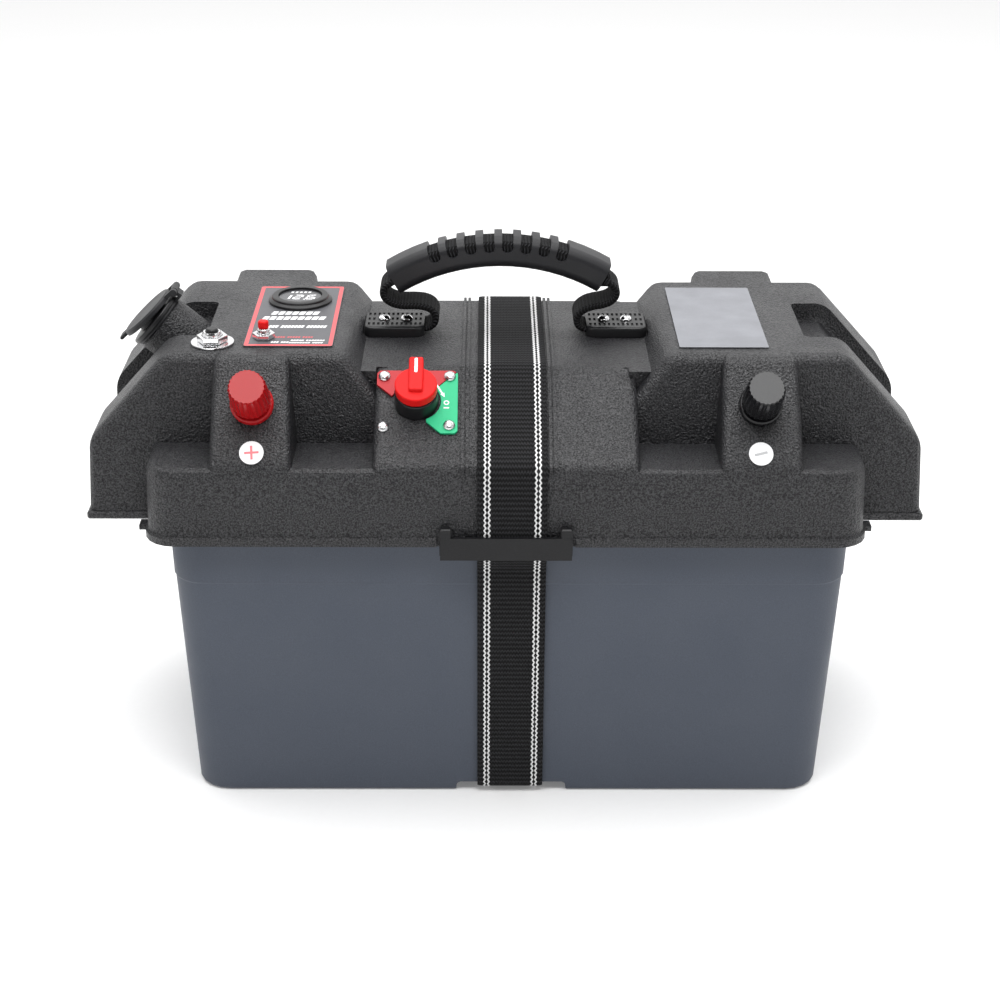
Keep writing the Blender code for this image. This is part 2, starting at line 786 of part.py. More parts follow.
def handle_pivot():
    return Matrix.Translation(Vector((0.0, HANDLE_Y, HANDLE_AXIS_Z)) * MM)


def build_handle():
    path = grip_path()
    sizes = [(GRIP_DEEP, GRIP_THICK)] * len(path)
    grip = swept("handle_grip", path, sizes, "handle_rubber", handle_matrix(), 6.0, 4)
    core = grip_path(17, 1.06)
    tunnel = swept("handle_tunnel", core, [(20.2, 13.6)] * 17, None, handle_matrix(), 5.0, 2)
    cut(grip, tunnel)
    for index in range(SLOT_COUNT):
        angle = SLOT_PITCH * (index - (SLOT_COUNT - 1) / 2) / GRIP_RADIUS
        tilt = math.radians(GRIP_TILT)
        turn = angle - tilt
        radius = GRIP_RADIUS
        x = GRIP_CENTRE[0] + radius * math.sin(angle) * math.cos(tilt)
        z = GRIP_CENTRE[1] + radius * (math.cos(angle) - 1.0)
        z += radius * math.sin(angle) * math.sin(tilt)
        at = frame_at((x, HANDLE_Y, z), (math.sin(turn), 0, math.cos(turn)))
        low = (-SLOT_WIDE / 2, -20, 0.3)
        slot = box(f"grip_slot_{index}", low, (SLOT_WIDE / 2, 20, 14.5), None, at)
        slot_bevel = bevel(slot, 2.6, 2)
        cut(grip, slot_bevel)
    hang(grip, handle_pivot())
    build_webbing()
    for side, word in ((-1, "left"), (1, "right")):
        build_anchor(side, word)


def build_webbing():
    """One length of webbing from anchor to anchor, tubular inside the grip."""
    left = [
        (-53.0, 251.9),
        (-46.8, 251.9),
        (-42.4, 253.4),
        (-39.8, 257.6),
        (-40.6, 262.6),
        (-45.2, 265.8),
        (-52.0, 266.6),
        (-60.5, 266.4),
        (-67.4, 268.6),
        (-70.9, 273.0),
        (-70.4, 277.3),
        (-67.2, 279.6),
    ]
    right = [
        (58.9, 281.0),
        (62.8, 278.7),
        (64.6, 274.4),
        (62.2, 270.0),
        (57.0, 267.4),
        (50.0, 266.4),
        (44.6, 264.2),
        (41.2, 260.4),
        (40.9, 256.0),
        (43.2, 253.0),
        (46.8, 251.9),
        (53.0, 251.9),
    ]
    middle = grip_path(11, 0.96)
    loop = [(24.0, 4.0)] * (len(left) - 4)
    flat = [(21.5, 3.2)] * 3
    sizes = flat + loop + [(21.5, 6.0)]
    sizes += [(19.0, 12.6)] * len(middle)
    sizes += [(21.5, 6.0)] + loop + flat
    swept("handle_webbing", left + middle + right, sizes, "webbing", handle_matrix())


def build_anchor(side, word):
    low = CENTRE_TOP_Z + GAP
    centre_x = side * (ANCHOR_IN_X + ANCHOR_OUT_X) / 2
    half_x = (ANCHOR_OUT_X - ANCHOR_IN_X) / 2
    rings = []
    for inset, z in ((0.0, low), (0.0, 253.4), (0.6, 254.6), (1.8, 255.2)):
        ring = rounded_ring(half_x - inset, 15.3 - inset, 6.0 - inset, z, 4, (centre_x, HANDLE_Y))
        rings.append(ring)
    anchor = loft(f"handle_anchor_{word}", rings, "black_plastic")
    inner = side * (ANCHOR_IN_X - 4)
    deep = side * 54.0
    pocket = box(
        f"anchor_pocket_{word}",
        (min(inner, deep), HANDLE_Y - 11.2, low - 1),
        (max(inner, deep), HANDLE_Y + 11.2, 254.2),
    )
    cut(anchor, pocket)
    slots = bmesh.new()
    for row in range(3):
        for column in range(12):
            x = centre_x + (column - 5.5) * 2.7
            y = HANDLE_Y + (row - 1) * 8.4
            near = min(abs(abs(x) - screw_x) for screw_x in ANCHOR_SCREWS_X)
            if row == 1 and near < 4.6:
                continue
            at = Matrix.Translation(Vector((x, y, 255.0)) * MM)
            size = Matrix.Diagonal(Vector((1.3, 4.4, 1.2, 1.0)) * MM)
            size[3][3] = 1.0
            bmesh.ops.create_cube(slots, size=1.0, matrix=at @ size)
    cut(anchor, add_object(f"anchor_slots_{word}", finish_mesh(f"anchor_slots_{word}", slots)))
    for index, x in enumerate(ANCHOR_SCREWS_X):
        at = panel_frame(side * x, HANDLE_Y, CENTRE_TOP_Z)
        cut(anchor, hole(f"anchor_bore_{word}_{index}", 1.9, at, -2, 10, 12))
        build_screw(f"anchor_screw_{word}_{index + 1}", moved(at, z=255.5 - CENTRE_TOP_Z), 3.6, 14.0)


def build_screw(name, at, head_radius, length, material="steel"):
    """A cross-head screw whose head rests on local z = 0."""
    profile = [
        (0.9, -length),
        (1.6, -length + 1.4),
        (1.6, 0.0),
        (head_radius, 0.0),
        (head_radius * 0.96, 0.7),
        (head_radius * 0.7, 1.7),
        (head_radius * 0.35, 2.1),
    ]
    screw = turned(name, profile, material, at, 14)
    for index, size in enumerate(((1.9, 0.45), (0.45, 1.9))):
        low = (-size[0], -size[1], 1.0)
        cut(screw, box(f"{name}_cross_{index}", low, (size[0], size[1], 4.0), None, at))
    return screw


# Isolator


def isolator_screw_frames():
    frames = []
    for side in (-1, 1):
        for up in (-1, 1):
            x = ISOLATOR_X + side * ISOLATOR_SCREW_X
            frames.append(face_frame(x, ISOLATOR_UP + up * ISOLATOR_SCREW_UP))
    return frames


def arc(radius, start, end, steps):
    points = []
    for step in range(steps + 1):
        angle = math.radians(start + (end - start) * step / steps)
        points.append((radius * math.cos(angle), radius * math.sin(angle)))
    return points


def build_isolator():
    at = face_frame(ISOLATOR_X, ISOLATOR_UP)
    red = [(-22.2, 11.4), (-13.6, 3.4)] + arc(13.4, 158, 40.8, 8)
    red += [(21.7, 20.1), (20.2, 21.2), (-20.4, 21.2), (-22.2, 19.4)]
    green = [(5.4, -13.9), (13.4, -21.9), (21.0, -21.9), (22.6, -20.4), (22.6, 19.2), (22.0, 19.7)]
    green += arc(13.4, 39.2, -66, 8)
    plates = (
        extruded("isolator_plate_red", red, GAP, 1.7, "red_plastic", at),
        extruded("isolator_plate_green", green, GAP, 1.7, "green_plastic", at),
    )
    for index, screw_at in enumerate(isolator_screw_frames()):
        high = index != 0
        for plate in plates if high else ():
            cut(plate, hole(f"{plate.name}_hole_{index}", 1.95, screw_at, -3, 6, 12))
        lift = 2.0 if high else GAP
        build_screw(f"isolator_screw_{index + 1}", moved(screw_at, z=lift), 3.4, 10.0)
    base = [(4.95, GAP), (12.2, GAP), (11.9, 9.5), (11.3, 10.5), (4.95, 10.5)]
    turned_ring("isolator_base", base, "black_plastic", at)
    body = box("isolator_body", (-19.9, -21, -31), (21, 21, -4.3), "black_plastic", at)
    bevel(body, 2.0, 1)
    join(body, turned("isolator_neck", [(9.6, -8), (9.6, -0.1)], None, at, 24))
    cut(body, hole("isolator_body_bore", 4.95, at, -22, 5, 20))
    for index, screw_at in enumerate(isolator_screw_frames()):
        cut(body, hole(f"isolator_body_hole_{index}", 1.95, screw_at, -16, 5, 12))
    for side in (-1, 1):
        lug = hole(f"isolator_lug_{side}", 3.5, moved(at, x=side * 11), -38, -29, 12)
        join(body, lug)
    knob = turned(
        "isolator_knob",
        [(4.6, -18.0), (4.6, 10.8), (10.6, 10.8), (11.6, 11.7), (11.6, 16.5), (11.0, 17.1)],
        "red_plastic",
        at,
    )
    pointer = box("isolator_pointer", (-4.0, -5.6, 12.5), (4.0, 17.2, 19.5), None, at)
    join(knob, bevel(pointer, 1.2, 2))


# Terminals


def build_terminal(side, word, colour):
    at = terminal_frame(side)
    collar = [(4.4, GAP), (11.9, GAP), (11.9, 3.4), (11.0, 4.6), (4.4, 4.6)]
    turned_ring(f"{word}_collar", collar, colour, at)
    stud = [(4.0, -22.0), (4.0, -4.0), (4.0, 20.0), (3.4, 21.0)]
    stud_part = turned(f"{word}_stud", stud, "brass", at, 20)
    washer = [(4.35, 4.9), (8.5, 4.9), (8.5, 6.1), (4.35, 6.1)]
    turned_ring(f"{word}_washer", washer, "chrome", at)
    outline = []
    for step in range(48):
        angle = 2.0 * math.pi * step / 48
        radius = 11.1 if step % 2 else 10.5
        outline.append((radius * math.cos(angle), radius * math.sin(angle)))
    rings = []
    for scale, z in ((0.93, 6.5), (1.0, 7.6), (0.93, 26.4), (0.86, 28.3)):
        rings.append([(x * scale, y * scale, z) for x, y in outline])
    knob = loft(f"{word}_knob", rings, colour, at)
    cut(knob, hole(f"{word}_knob_bore", 4.3, at, -2, 22.4, 20))
    hexagon = [(x * 7.5, y * 7.5) for x, y in arc(1.0, 0, 300, 5)]
    nut = extruded(f"{word}_nut", hexagon, -9.8, -3.5, "steel", at)
    cut(nut, hole(f"{word}_nut_bore", 4.25, at, segments=20))
    foot = Vector((side * (TERMINAL_X - 0.6), FACE_FOOT_Y, FACE_FOOT_Z))
    along = Vector((0.0, 0.667, 0.745)) * STICKER_UP
    sticker = frame_at(foot + along, (0, -0.745, 0.667))
    turned(f"{word}_sticker", [(6.6, GAP), (6.6, 0.7)], colour, sticker)
    return stud_part


# Breakers, voltmeter, labels


def hex_outline(across_flats):
    radius = across_flats / math.sqrt(3.0)
    return [(x * radius, y * radius) for x, y in arc(1.0, 0, 300, 5)]


def build_breakers():
    at = panel_frame(*MAIN_BREAKER_AT)
    washer = [(6.0, GAP), (12.0, GAP), (12.0, 1.3), (6.0, 1.3)]
    turned_ring("main_breaker_washer", washer, "chrome", at)
    nut = extruded("main_breaker_nut", hex_outline(15.0), 1.6, 5.0, "chrome", at)
    cut(nut, hole("main_breaker_nut_bore", 5.8, at, segments=20))
    body = box("main_breaker_body", (-9, -14, -34), (9, 8, -3.4), "black_plastic", at)
    bevel(body, 1.2, 1)
    neck = [(5.5, -8), (5.5, 5.4), (4.8, 7.2)]
    join(body, turned("main_breaker_neck", neck, None, at, 20))
    cut(body, hole("main_breaker_bore", 3.8, at, -12, 20, 20))
    button = [(3.5, -11.0), (3.5, 8.2), (2.8, 9.0)]
    turned("main_breaker_button", button, "black_plastic", at, 20)
    at = panel_frame(*AUX_BREAKER_AT)
    label_top = 0.8
    nut = extruded("aux_breaker_nut", hex_outline(11.0), label_top + GAP, 3.8, "chrome", at)
    cut(nut, hole("aux_breaker_nut_bore", 3.8, at, segments=16))
    body = box("aux_breaker_body", (-7, -10, -28), (7, 10, -3.4), "black_plastic", at)
    bevel(body, 1.0, 1)
    neck = [(3.5, -8), (3.5, 5.8), (3.1, 6.4)]
    join(body, turned("aux_breaker_neck", neck, None, at, 16))
    cut(body, hole("aux_breaker_bore", 2.3, at, -14, 20, 16))
    button = [(2.0, -8.0), (2.0, 6.8), (3.0, 6.8), (3.0, 10.3), (2.4, 11.0)]
    turned("aux_breaker_button", button, "red_plastic", at, 16)


def build_voltmeter():
    at = panel_frame(*VOLTMETER_AT)
    bezel = turned(
        "voltmeter_bezel",
        [(14.4, -24.0), (14.4, 1.1), (18.6, 1.1), (18.6, 2.2), (16.6, 3.2), (16.6, 4.2), (15.8, 4.6)],
        "black_plastic",
        at,
    )
    cut(bezel, hole("voltmeter_window", 12.8, at, 2.0, 20.0))
    turned("voltmeter_display", [(12.4, 2.3), (12.4, 3.4)], "display", at)
    ring = [(14.75, -9.0), (18.5, -9.0), (18.5, -3.4), (14.75, -3.4)]
    turned_ring("voltmeter_ring", ring, "black_plastic", at)


def build_labels():
    for side, word in ((-1, "voltmeter_label"), (1, "info_label")):
        corner = 1.6 if side < 0 else 0.8
        centre = (side * (LABEL_IN_X + LABEL_OUT_X) / 2, (LABEL_FRONT_Y + LABEL_BACK_Y) / 2)
        half_x = (LABEL_OUT_X - LABEL_IN_X) / 2
        half_y = (LABEL_BACK_Y - LABEL_FRONT_Y) / 2
        rings = []
        for z in (PLATEAU_Z + GAP, PLATEAU_Z + 0.7):
            rings.append(rounded_ring(half_x, half_y, corner, z, 3, centre))
        label = loft(word, rings, "label_film")
        if side < 0:
            cut(label, hole("label_voltmeter_hole", 15.2, panel_frame(*VOLTMETER_AT)))
            cut(label, hole("label_aux_hole", 4.2, panel_frame(*AUX_BREAKER_AT), segments=16))


# Socket


def build_socket():
    at = socket_frame()
    body = turned(
        "socket_body",
        [(13.9, -43.0), (13.9, 8.4), (18.0, 8.4), (18.0, 10.4), (17.2, 11.0)],
        "black_plastic",
        at,
    )
    cut(body, hole("socket_bore", 10.75, at, -40.0, 20.0))
    contact = turned("socket_contact", [(3.0, -39.7), (4.0, -38.6), (4.0, -37.0), (2.4, -35.6)], "brass", at, 16)
    nut = [(14.2, -38.6), (17.4, -38.6), (17.4, -33.4), (14.2, -33.4)]
    turned_ring("socket_nut", nut, "black_plastic", at)
    ring = [(14.2, 6.85), (17.0, 6.85), (17.0, 8.1), (14.2, 8.1)]
    tether = turned_ring("cap_tether", ring, "black_plastic", at)
    tongue = box("tether_tongue", (15.6, -4.0, 6.9), (22.2, 4.0, 8.05), None, at)
    rise = box("tether_rise", (19.9, -4.0, 6.95), (22.1, 4.0, 12.0), None, at)
    pivot = frame_at(at @ (Vector((21.0, 0, 12.0)) * MM) / MM, (0, 1, 0), at.col[0].to_3d())
    knuckle = turned("tether_knuckle", [(2.2, -4.0), (2.2, 4.0)], None, pivot, 16)
    join(tether, tongue, rise, knuckle)
    cut(tether, hole("tether_bore", 1.25, pivot, -9, 9, 12))
    ajar = Matrix.Translation(pivot.translation)
    ajar = ajar @ Matrix.Rotation(math.radians(6.0), 4, "Y") @ ajar.inverted()
    build_cap(ajar @ at, ajar @ pivot)
    return contact


def build_cap(at, pivot):
    """The dust cap, hung from an empty on its hinge axis."""
    profile = [(9.4, 5.0), (9.9, 6.0), (9.9, 11.4), (17.6, 11.4), (17.6, 13.6), (16.4, 14.6)]
    cap = turned("dust_cap", profile, "black_plastic", at)
    hang(cap, pivot)
    tab = box("cap_tab", (-22.5, -4.5, 11.9), (-15.0, 4.5, 14.0), None, at)
    join(cap, bevel(tab, 0.8, 1))
    for side in (-1, 1):
        arm = box(
            f"cap_arm_{side}",
            (13.0, min(side * 4.4, side * 7.6), 11.7),
            (21.4, max(side * 4.4, side * 7.6), 14.0),
            None,
            at,
        )
        low = min(side * 4.4, side * 7.6)
        high = max(side * 4.4, side * 7.6)
        knuckle = turned(f"cap_knuckle_{side}", [(2.1, low), (2.1, high)], None, pivot, 16)
        low = min(side * 0.8, side * 5.0)
        high = max(side * 0.8, side * 5.0)
        pin = turned(f"cap_pin_{side}", [(0.95, low), (0.95, high)], None, pivot, 12)
        join(cap, arm, knuckle, pin)


# Leads inside the lid


def smooth_path(points, steps=5):
    """Points along a Catmull-Rom curve through the given ones."""
    knots = [Vector(point) for point in points]
    knots = [knots[0]] + knots + [knots[-1]]
    path = []
    for a, b, c, d in zip(knots, knots[1:], knots[2:], knots[3:]):
        for step in range(steps):
            t = step / steps
            bend = 2 * b + (c - a) * t + (2 * a - 5 * b + 4 * c - d) * t**2
            path.append((bend + (3 * b - a - 3 * c + d) * t**3) / 2)
    path.append(knots[-1])
    return path


def build_lead(name, points, material, radius=2.4):
    curve = bpy.data.curves.new(name, "CURVE")
    curve.dimensions = "3D"
    curve.bevel_depth = radius * MM
    curve.bevel_resolution = 2
    curve.use_fill_caps = True
    path = smooth_path(points)
    spline = curve.splines.new("POLY")
    spline.points.add(len(path) - 1)
    for point, co in zip(spline.points, path):
        point.co = (*(co * MM), 1.0)
    curve.materials.append(SLOTS[material])
    obj = bpy.data.objects.new(name, curve)
    PARTS.objects.link(obj)
    return obj


def build_leads():
    """The two held leads that join the isolator to the terminal and to the breaker."""
    at = face_frame(ISOLATOR_X, ISOLATOR_UP)
    lug_left = at @ (Vector((-11.0, 0.0, -39.6)) * MM) / MM
    lug_right = at @ (Vector((11.0, 0.0, -39.6)) * MM) / MM
    stud_end = terminal_frame(-1) @ (Vector((0.0, 0.0, -22.5)) * MM) / MM
    to_terminal = [
        lug_left,
        lug_left + Vector((-0.5, 3.5, -7.0)),
        (-82.0, -58.0, 190.0),
        (-112.0, -62.0, 194.0),
        (-133.0, -66.0, 210.0),
        stud_end + Vector((0.0, 4.0, -4.2)),
        stud_end,
    ]
    build_lead("lead_terminal", to_terminal, "cable_red")
    to_breaker = [
        lug_right,
        lug_right + Vector((-0.5, 4.0, -8.0)),
        (-70.0, -38.0, 184.0),
        (-115.0, -34.0, 183.0),
        (-150.0, -44.0, 200.0),
        (-162.0, -51.0, 218.0),
        (-163.0, -52.0, 227.0),
    ]
    build_lead("lead_breaker", to_breaker, "cable_red")


build_tub()
build_lid()
build_straps()
build_handle()
build_isolator()
build_terminal(-1, "positive", "red_plastic")
build_terminal(1, "negative", "black_plastic")
build_breakers()
build_voltmeter()
build_labels()
build_socket()
build_leads()
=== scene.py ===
"""Studio view of the battery box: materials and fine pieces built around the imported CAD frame.

Everything is in metres in the CAD frame. Small offsets are written in millimetres and turned by MM.
"""

import math

import bmesh
import bpy
from mathutils import Matrix, Vector


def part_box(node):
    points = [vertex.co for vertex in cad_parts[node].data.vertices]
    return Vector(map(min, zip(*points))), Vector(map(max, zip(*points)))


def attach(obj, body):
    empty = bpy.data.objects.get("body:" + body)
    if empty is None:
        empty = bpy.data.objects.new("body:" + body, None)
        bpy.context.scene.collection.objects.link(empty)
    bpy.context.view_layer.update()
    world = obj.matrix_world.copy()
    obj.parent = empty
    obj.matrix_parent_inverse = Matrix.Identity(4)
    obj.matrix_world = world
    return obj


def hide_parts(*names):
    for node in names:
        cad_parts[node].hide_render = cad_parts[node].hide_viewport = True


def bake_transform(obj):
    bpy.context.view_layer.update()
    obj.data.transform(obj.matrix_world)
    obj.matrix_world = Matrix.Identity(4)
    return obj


MM = 0.001
WELD_REACH = 1e-6
FLAT_ANGLE = math.radians(0.4)
SHARP_ANGLE = math.radians(32)
X_AXIS = Vector((1.0, 0.0, 0.0))
Y_AXIS = Vector((0.0, 1.0, 0.0))

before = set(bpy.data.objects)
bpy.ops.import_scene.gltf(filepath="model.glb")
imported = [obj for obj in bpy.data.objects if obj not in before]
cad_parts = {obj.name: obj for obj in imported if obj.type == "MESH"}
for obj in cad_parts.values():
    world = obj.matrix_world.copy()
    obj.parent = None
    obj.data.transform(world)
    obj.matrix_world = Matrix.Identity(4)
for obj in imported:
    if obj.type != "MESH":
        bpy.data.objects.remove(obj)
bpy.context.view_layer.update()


# Materials


# How many times lighter than the webbing's own colour the yarn crowns are painted: a painted
# highlight.
PAINTED_YARN_HIGHLIGHT = 4.5


class Look:
    """One procedural material: a Principled shader and short calls that add nodes to it."""

    def __init__(self, name, colour, roughness, metallic=0.0, **inputs):
        self.material = bpy.data.materials.new(name)
        self.material.use_nodes = True
        self.tree = self.material.node_tree
        self.shader = self.tree.nodes["Principled BSDF"]
        self.shader.inputs["Base Color"].default_value = (*colour, 1.0)
        self.shader.inputs["Roughness"].default_value = roughness
        self.shader.inputs["Metallic"].default_value = metallic
        for key, value in inputs.items():
            self.shader.inputs[key.replace("_", " ")].default_value = value
        self.place = self.add("ShaderNodeTexCoord").outputs["Object"]
        self.relief = None

    def add(self, kind, **settings):
        node = self.tree.nodes.new(kind)
        for key, value in settings.items():
            setattr(node, key, value)
        return node

    def feed(self, socket, value):
        if isinstance(value, bpy.types.NodeSocket):
            self.tree.links.new(value, socket)
        else:
            socket.default_value = value

    def noise(self, size, detail=2.0, roughness=0.5, place=None):
        """Soft noise whose features are about size metres across."""
        node = self.add("ShaderNodeTexNoise")
        self.feed(node.inputs["Vector"], place or self.place)
        node.inputs["Scale"].default_value = 1.0 / size
        node.inputs["Detail"].default_value = detail
        node.inputs["Roughness"].default_value = roughness
        return node.outputs["Fac"]

    def cells(self, size):
        """Smooth pits about size metres apart."""
        node = self.add("ShaderNodeTexVoronoi", feature="SMOOTH_F1")
        self.feed(node.inputs["Vector"], self.place)
        node.inputs["Scale"].default_value = 1.0 / size
        return node.outputs["Distance"]

    def stretched(self, scale):
        """The object's own coordinates, scaled by a different factor on each axis."""
        node = self.add("ShaderNodeMapping")
        self.feed(node.inputs["Vector"], self.place)
        node.inputs["Scale"].default_value = scale
        return node.outputs["Vector"]

    def sums(self, operation, first, second=0.0, third=0.0):
        node = self.add("ShaderNodeMath", operation=operation)
        for socket, value in zip(node.inputs, (first, second, third)):
            self.feed(socket, value)
        return node.outputs["Value"]

    def remap(self, value, low, high, start, end):
        node = self.add("ShaderNodeMapRange")
        for name, given in (
            ("Value", value),
            ("From Min", low),
            ("From Max", high),
            ("To Min", start),
            ("To Max", end),
        ):
            self.feed(node.inputs[name], given)
        return node.outputs["Result"]

    def mix(self, factor, first, second):
        node = self.add("ShaderNodeMix", data_type="RGBA")
        self.feed(node.inputs["Factor"], factor)
        for socket, colour in ((node.inputs["A"], first), (node.inputs["B"], second)):
            given = (*colour, 1.0) if isinstance(colour, tuple) else colour
            self.feed(socket, given)
        return node.outputs["Result"]

    def shade(self, factor, first, second):
        """Base colour that runs between two colours by a factor."""
        self.feed(self.shader.inputs["Base Color"], self.mix(factor, first, second))

    def rough(self, factor, low, high):
        self.feed(self.shader.inputs["Roughness"], self.remap(factor, 0.3, 0.7, low, high))

    def bump(self, height, depth, strength=1.0):
        """Raise the surface by height times depth metres; calls add up."""
        node = self.add("ShaderNodeBump")
        node.inputs["Distance"].default_value = depth
        node.inputs["Strength"].default_value = strength
        self.feed(node.inputs["Height"], height)
        if self.relief is not None:
            self.feed(node.inputs["Normal"], self.relief)
        self.relief = node.outputs["Normal"]
        self.feed(self.shader.inputs["Normal"], self.relief)


def scaled(colour, share):
    """A colour made darker or lighter by one factor."""
    return tuple(channel * share for channel in colour)


def moulded(name, colour, roughness, grain, depth, tone, sheen, glinting=False):
    """Moulded plastic with an all-over spark-eroded grain, whose gloss can follow the grain."""
    look = Look(name, colour, roughness, Specular_IOR_Level=sheen)
    coarse = look.noise(grain, 2.5, 0.6)
    pits = look.cells(grain * 1.25)
    slow = look.noise(0.035, 3.0, 0.55)
    speck = look.remap(coarse, 0.38, 0.64, 0.0, 1.0)
    look.shade(speck, scaled(colour, 1.0 - tone), scaled(colour, 1.0 + tone))
    if glinting:
        level = look.remap(speck, 0.0, 1.0, (1.0 - tone) * sheen, (1.0 + tone) * sheen)
        look.feed(look.shader.inputs["Specular IOR Level"], level)
    look.rough(slow, roughness - 0.06, roughness + 0.08)
    look.bump(pits, depth, 0.9)
    look.bump(coarse, depth * 1.4, 0.9)
    return look


def glossy(name, colour, roughness, **inputs):
    """Smooth moulded plastic with faint flow marks and fine dust."""
    look = Look(name, colour, roughness, **inputs)
    flow = look.noise(0.012, 2.0, 0.5)
    dust = look.noise(0.0006, 2.0, 0.7)
    look.shade(look.remap(dust, 0.62, 0.8, 0.0, 0.35), colour, scaled(colour, 1.6))
    look.rough(dust, roughness - 0.02, roughness + 0.07)
    look.bump(flow, 0.00012, 0.5)
    return look


def plated(name, colour, roughness, stretch):
    """Bright metal with fine machining lines."""
    look = Look(name, colour, roughness, 1.0)
    lines = look.noise(0.0004, 3.0, 0.6, look.stretched(stretch))
    marks = look.noise(0.004, 3.0, 0.6)
    look.shade(look.remap(marks, 0.4, 0.75, 0.0, 1.0), colour, scaled(colour, 0.82))
    look.rough(lines, roughness - 0.04, roughness + 0.1)
    look.bump(lines, 0.00002, 0.6)
    return look


def woven(name, colour, pitch, zigzag, slope, depth):
    """Flat webbing seen through its UV map, which is in millimetres across and along; its colour holds
    painted shade in the grooves and a painted highlight on the yarn crowns.
    """
    look = Look(name, colour, 0.85, Specular_IOR_Level=0.2)
    split = look.add("ShaderNodeSeparateXYZ")
    look.feed(split.inputs["Vector"], look.add("ShaderNodeUVMap", uv_map="UVMap").outputs["UV"])
    across = split.outputs["X"]
    along = split.outputs["Y"]
    chevron = look.sums("PINGPONG", across, zigzag)
    lean = look.sums("MULTIPLY_ADD", chevron, slope, along)
    wave = look.sums("SINE", look.sums("MULTIPLY", lean, math.tau / pitch))
    columns = look.sums("SINE", look.sums("MULTIPLY", across, math.pi / zigzag))
    rib = look.sums("MULTIPLY_ADD", look.sums("ABSOLUTE", columns), 0.9, wave)
    yarn = look.remap(rib, -0.2, 1.8, 0.0, 1.0)
    fuzz = look.noise(0.0004, 3.0, 0.7)
    # Painted light on the weave: the base colour runs from painted shade in the grooves between yarns
    # (0.3 times the colour) to a painted highlight on the yarn crowns, scaled by random fibre fuzz.
    painted_crown_light = look.sums("POWER", yarn, 2.2)
    tone = look.sums("MULTIPLY", look.remap(fuzz, 0.3, 0.7, 0.45, 1.1), painted_crown_light)
    look.shade(tone, scaled(colour, 0.3), scaled(colour, PAINTED_YARN_HIGHLIGHT))
    look.rough(fuzz, 0.72, 0.92)
    look.bump(yarn, depth, 1.0)
    look.bump(fuzz, 0.00012, 0.6)
    return look


def film_look(name, colour):
    """Printed label film: a satin sheet with a faint weave and slow clouding."""
    look = Look(name, colour, 0.4, Specular_IOR_Level=0.4)
    weave = look.noise(0.0005, 2.0, 0.6)
    cloud = look.noise(0.02, 3.0, 0.6)
    look.shade(look.remap(cloud, 0.35, 0.7, 0.0, 1.0), scaled(colour, 0.9), scaled(colour, 1.1))
    look.rough(weave, 0.36, 0.46)
    look.bump(weave, 0.00002, 0.5)
    return look


def make_looks():
    looks = {
        "lid": moulded("lid_grain", (0.011, 0.011, 0.013), 0.4, 0.0009, 0.0006, 0.5, 0.56, True),
        "tub": moulded("tub_grain", (0.06, 0.071, 0.095), 0.5, 0.0006, 0.00004, 0.08, 0.36),
        "guide": moulded("guide_grain", (0.008, 0.008, 0.009), 0.34, 0.0008, 0.00008, 0.2, 0.26),
        "black": glossy("black_moulding", (0.01, 0.01, 0.011), 0.32, Specular_IOR_Level=0.35),
        "black_gloss": glossy("black_knob", (0.006, 0.006, 0.007), 0.17, Specular_IOR_Level=0.28),
        "red_gloss": glossy("red_knob", (0.35, 0.005, 0.007), 0.18, Specular_IOR_Level=0.2),
        "red": glossy("red_lever", (0.66, 0.008, 0.008), 0.42, Specular_IOR_Level=0.16),
        "plate_red": glossy("red_plate", (0.42, 0.02, 0.026), 0.45, Specular_IOR_Level=0.3),
        "plate_green": glossy("green_plate", (0.02, 0.44, 0.2), 0.45, Specular_IOR_Level=0.3),
        "chrome": plated("chrome_plate", (0.86, 0.86, 0.87), 0.12, (1.0, 12.0, 1.0)),
        "steel": plated("screw_steel", (0.78, 0.78, 0.79), 0.22, (1.0, 8.0, 1.0)),
        "brass": plated("turned_brass", (0.72, 0.5, 0.22), 0.25, (1.0, 1.0, 14.0)),
        "cable": glossy("cable_jacket", (0.5, 0.014, 0.014), 0.42),
        "display": glossy("display_window", (0.045, 0.045, 0.05), 0.2, Coat_Weight=0.2),
        "print_white": glossy("white_print", (0.82, 0.82, 0.83), 0.4),
        "print_pink": glossy("border_print", (0.62, 0.085, 0.095), 0.45),
        "print_red": glossy("red_print", (0.72, 0.16, 0.18), 0.4),
        "print_grey": glossy("grey_print", (0.42, 0.42, 0.43), 0.4),
        "thread": glossy("white_thread", (0.74, 0.74, 0.74), 0.75),
        "webbing": woven("strap_weave", (0.01, 0.01, 0.011), 2.9, 0.83, 1.5, 0.0006),
        "handle_webbing": woven("handle_weave", (0.01, 0.01, 0.011), 1.9, 1.0, 1.1, 0.0007),
    }
    rubber = moulded("grip_rubber", (0.016, 0.016, 0.018), 0.42, 0.0005, 0.00004, 0.15, 0.3)
    looks["rubber"] = rubber
    looks["film"] = film_look("label_film", (0.085, 0.085, 0.093))
    looks["film_pale"] = film_look("label_film_pale", (0.2, 0.205, 0.225))
    return {key: look.material for key, look in looks.items()}


LOOKS = make_looks()

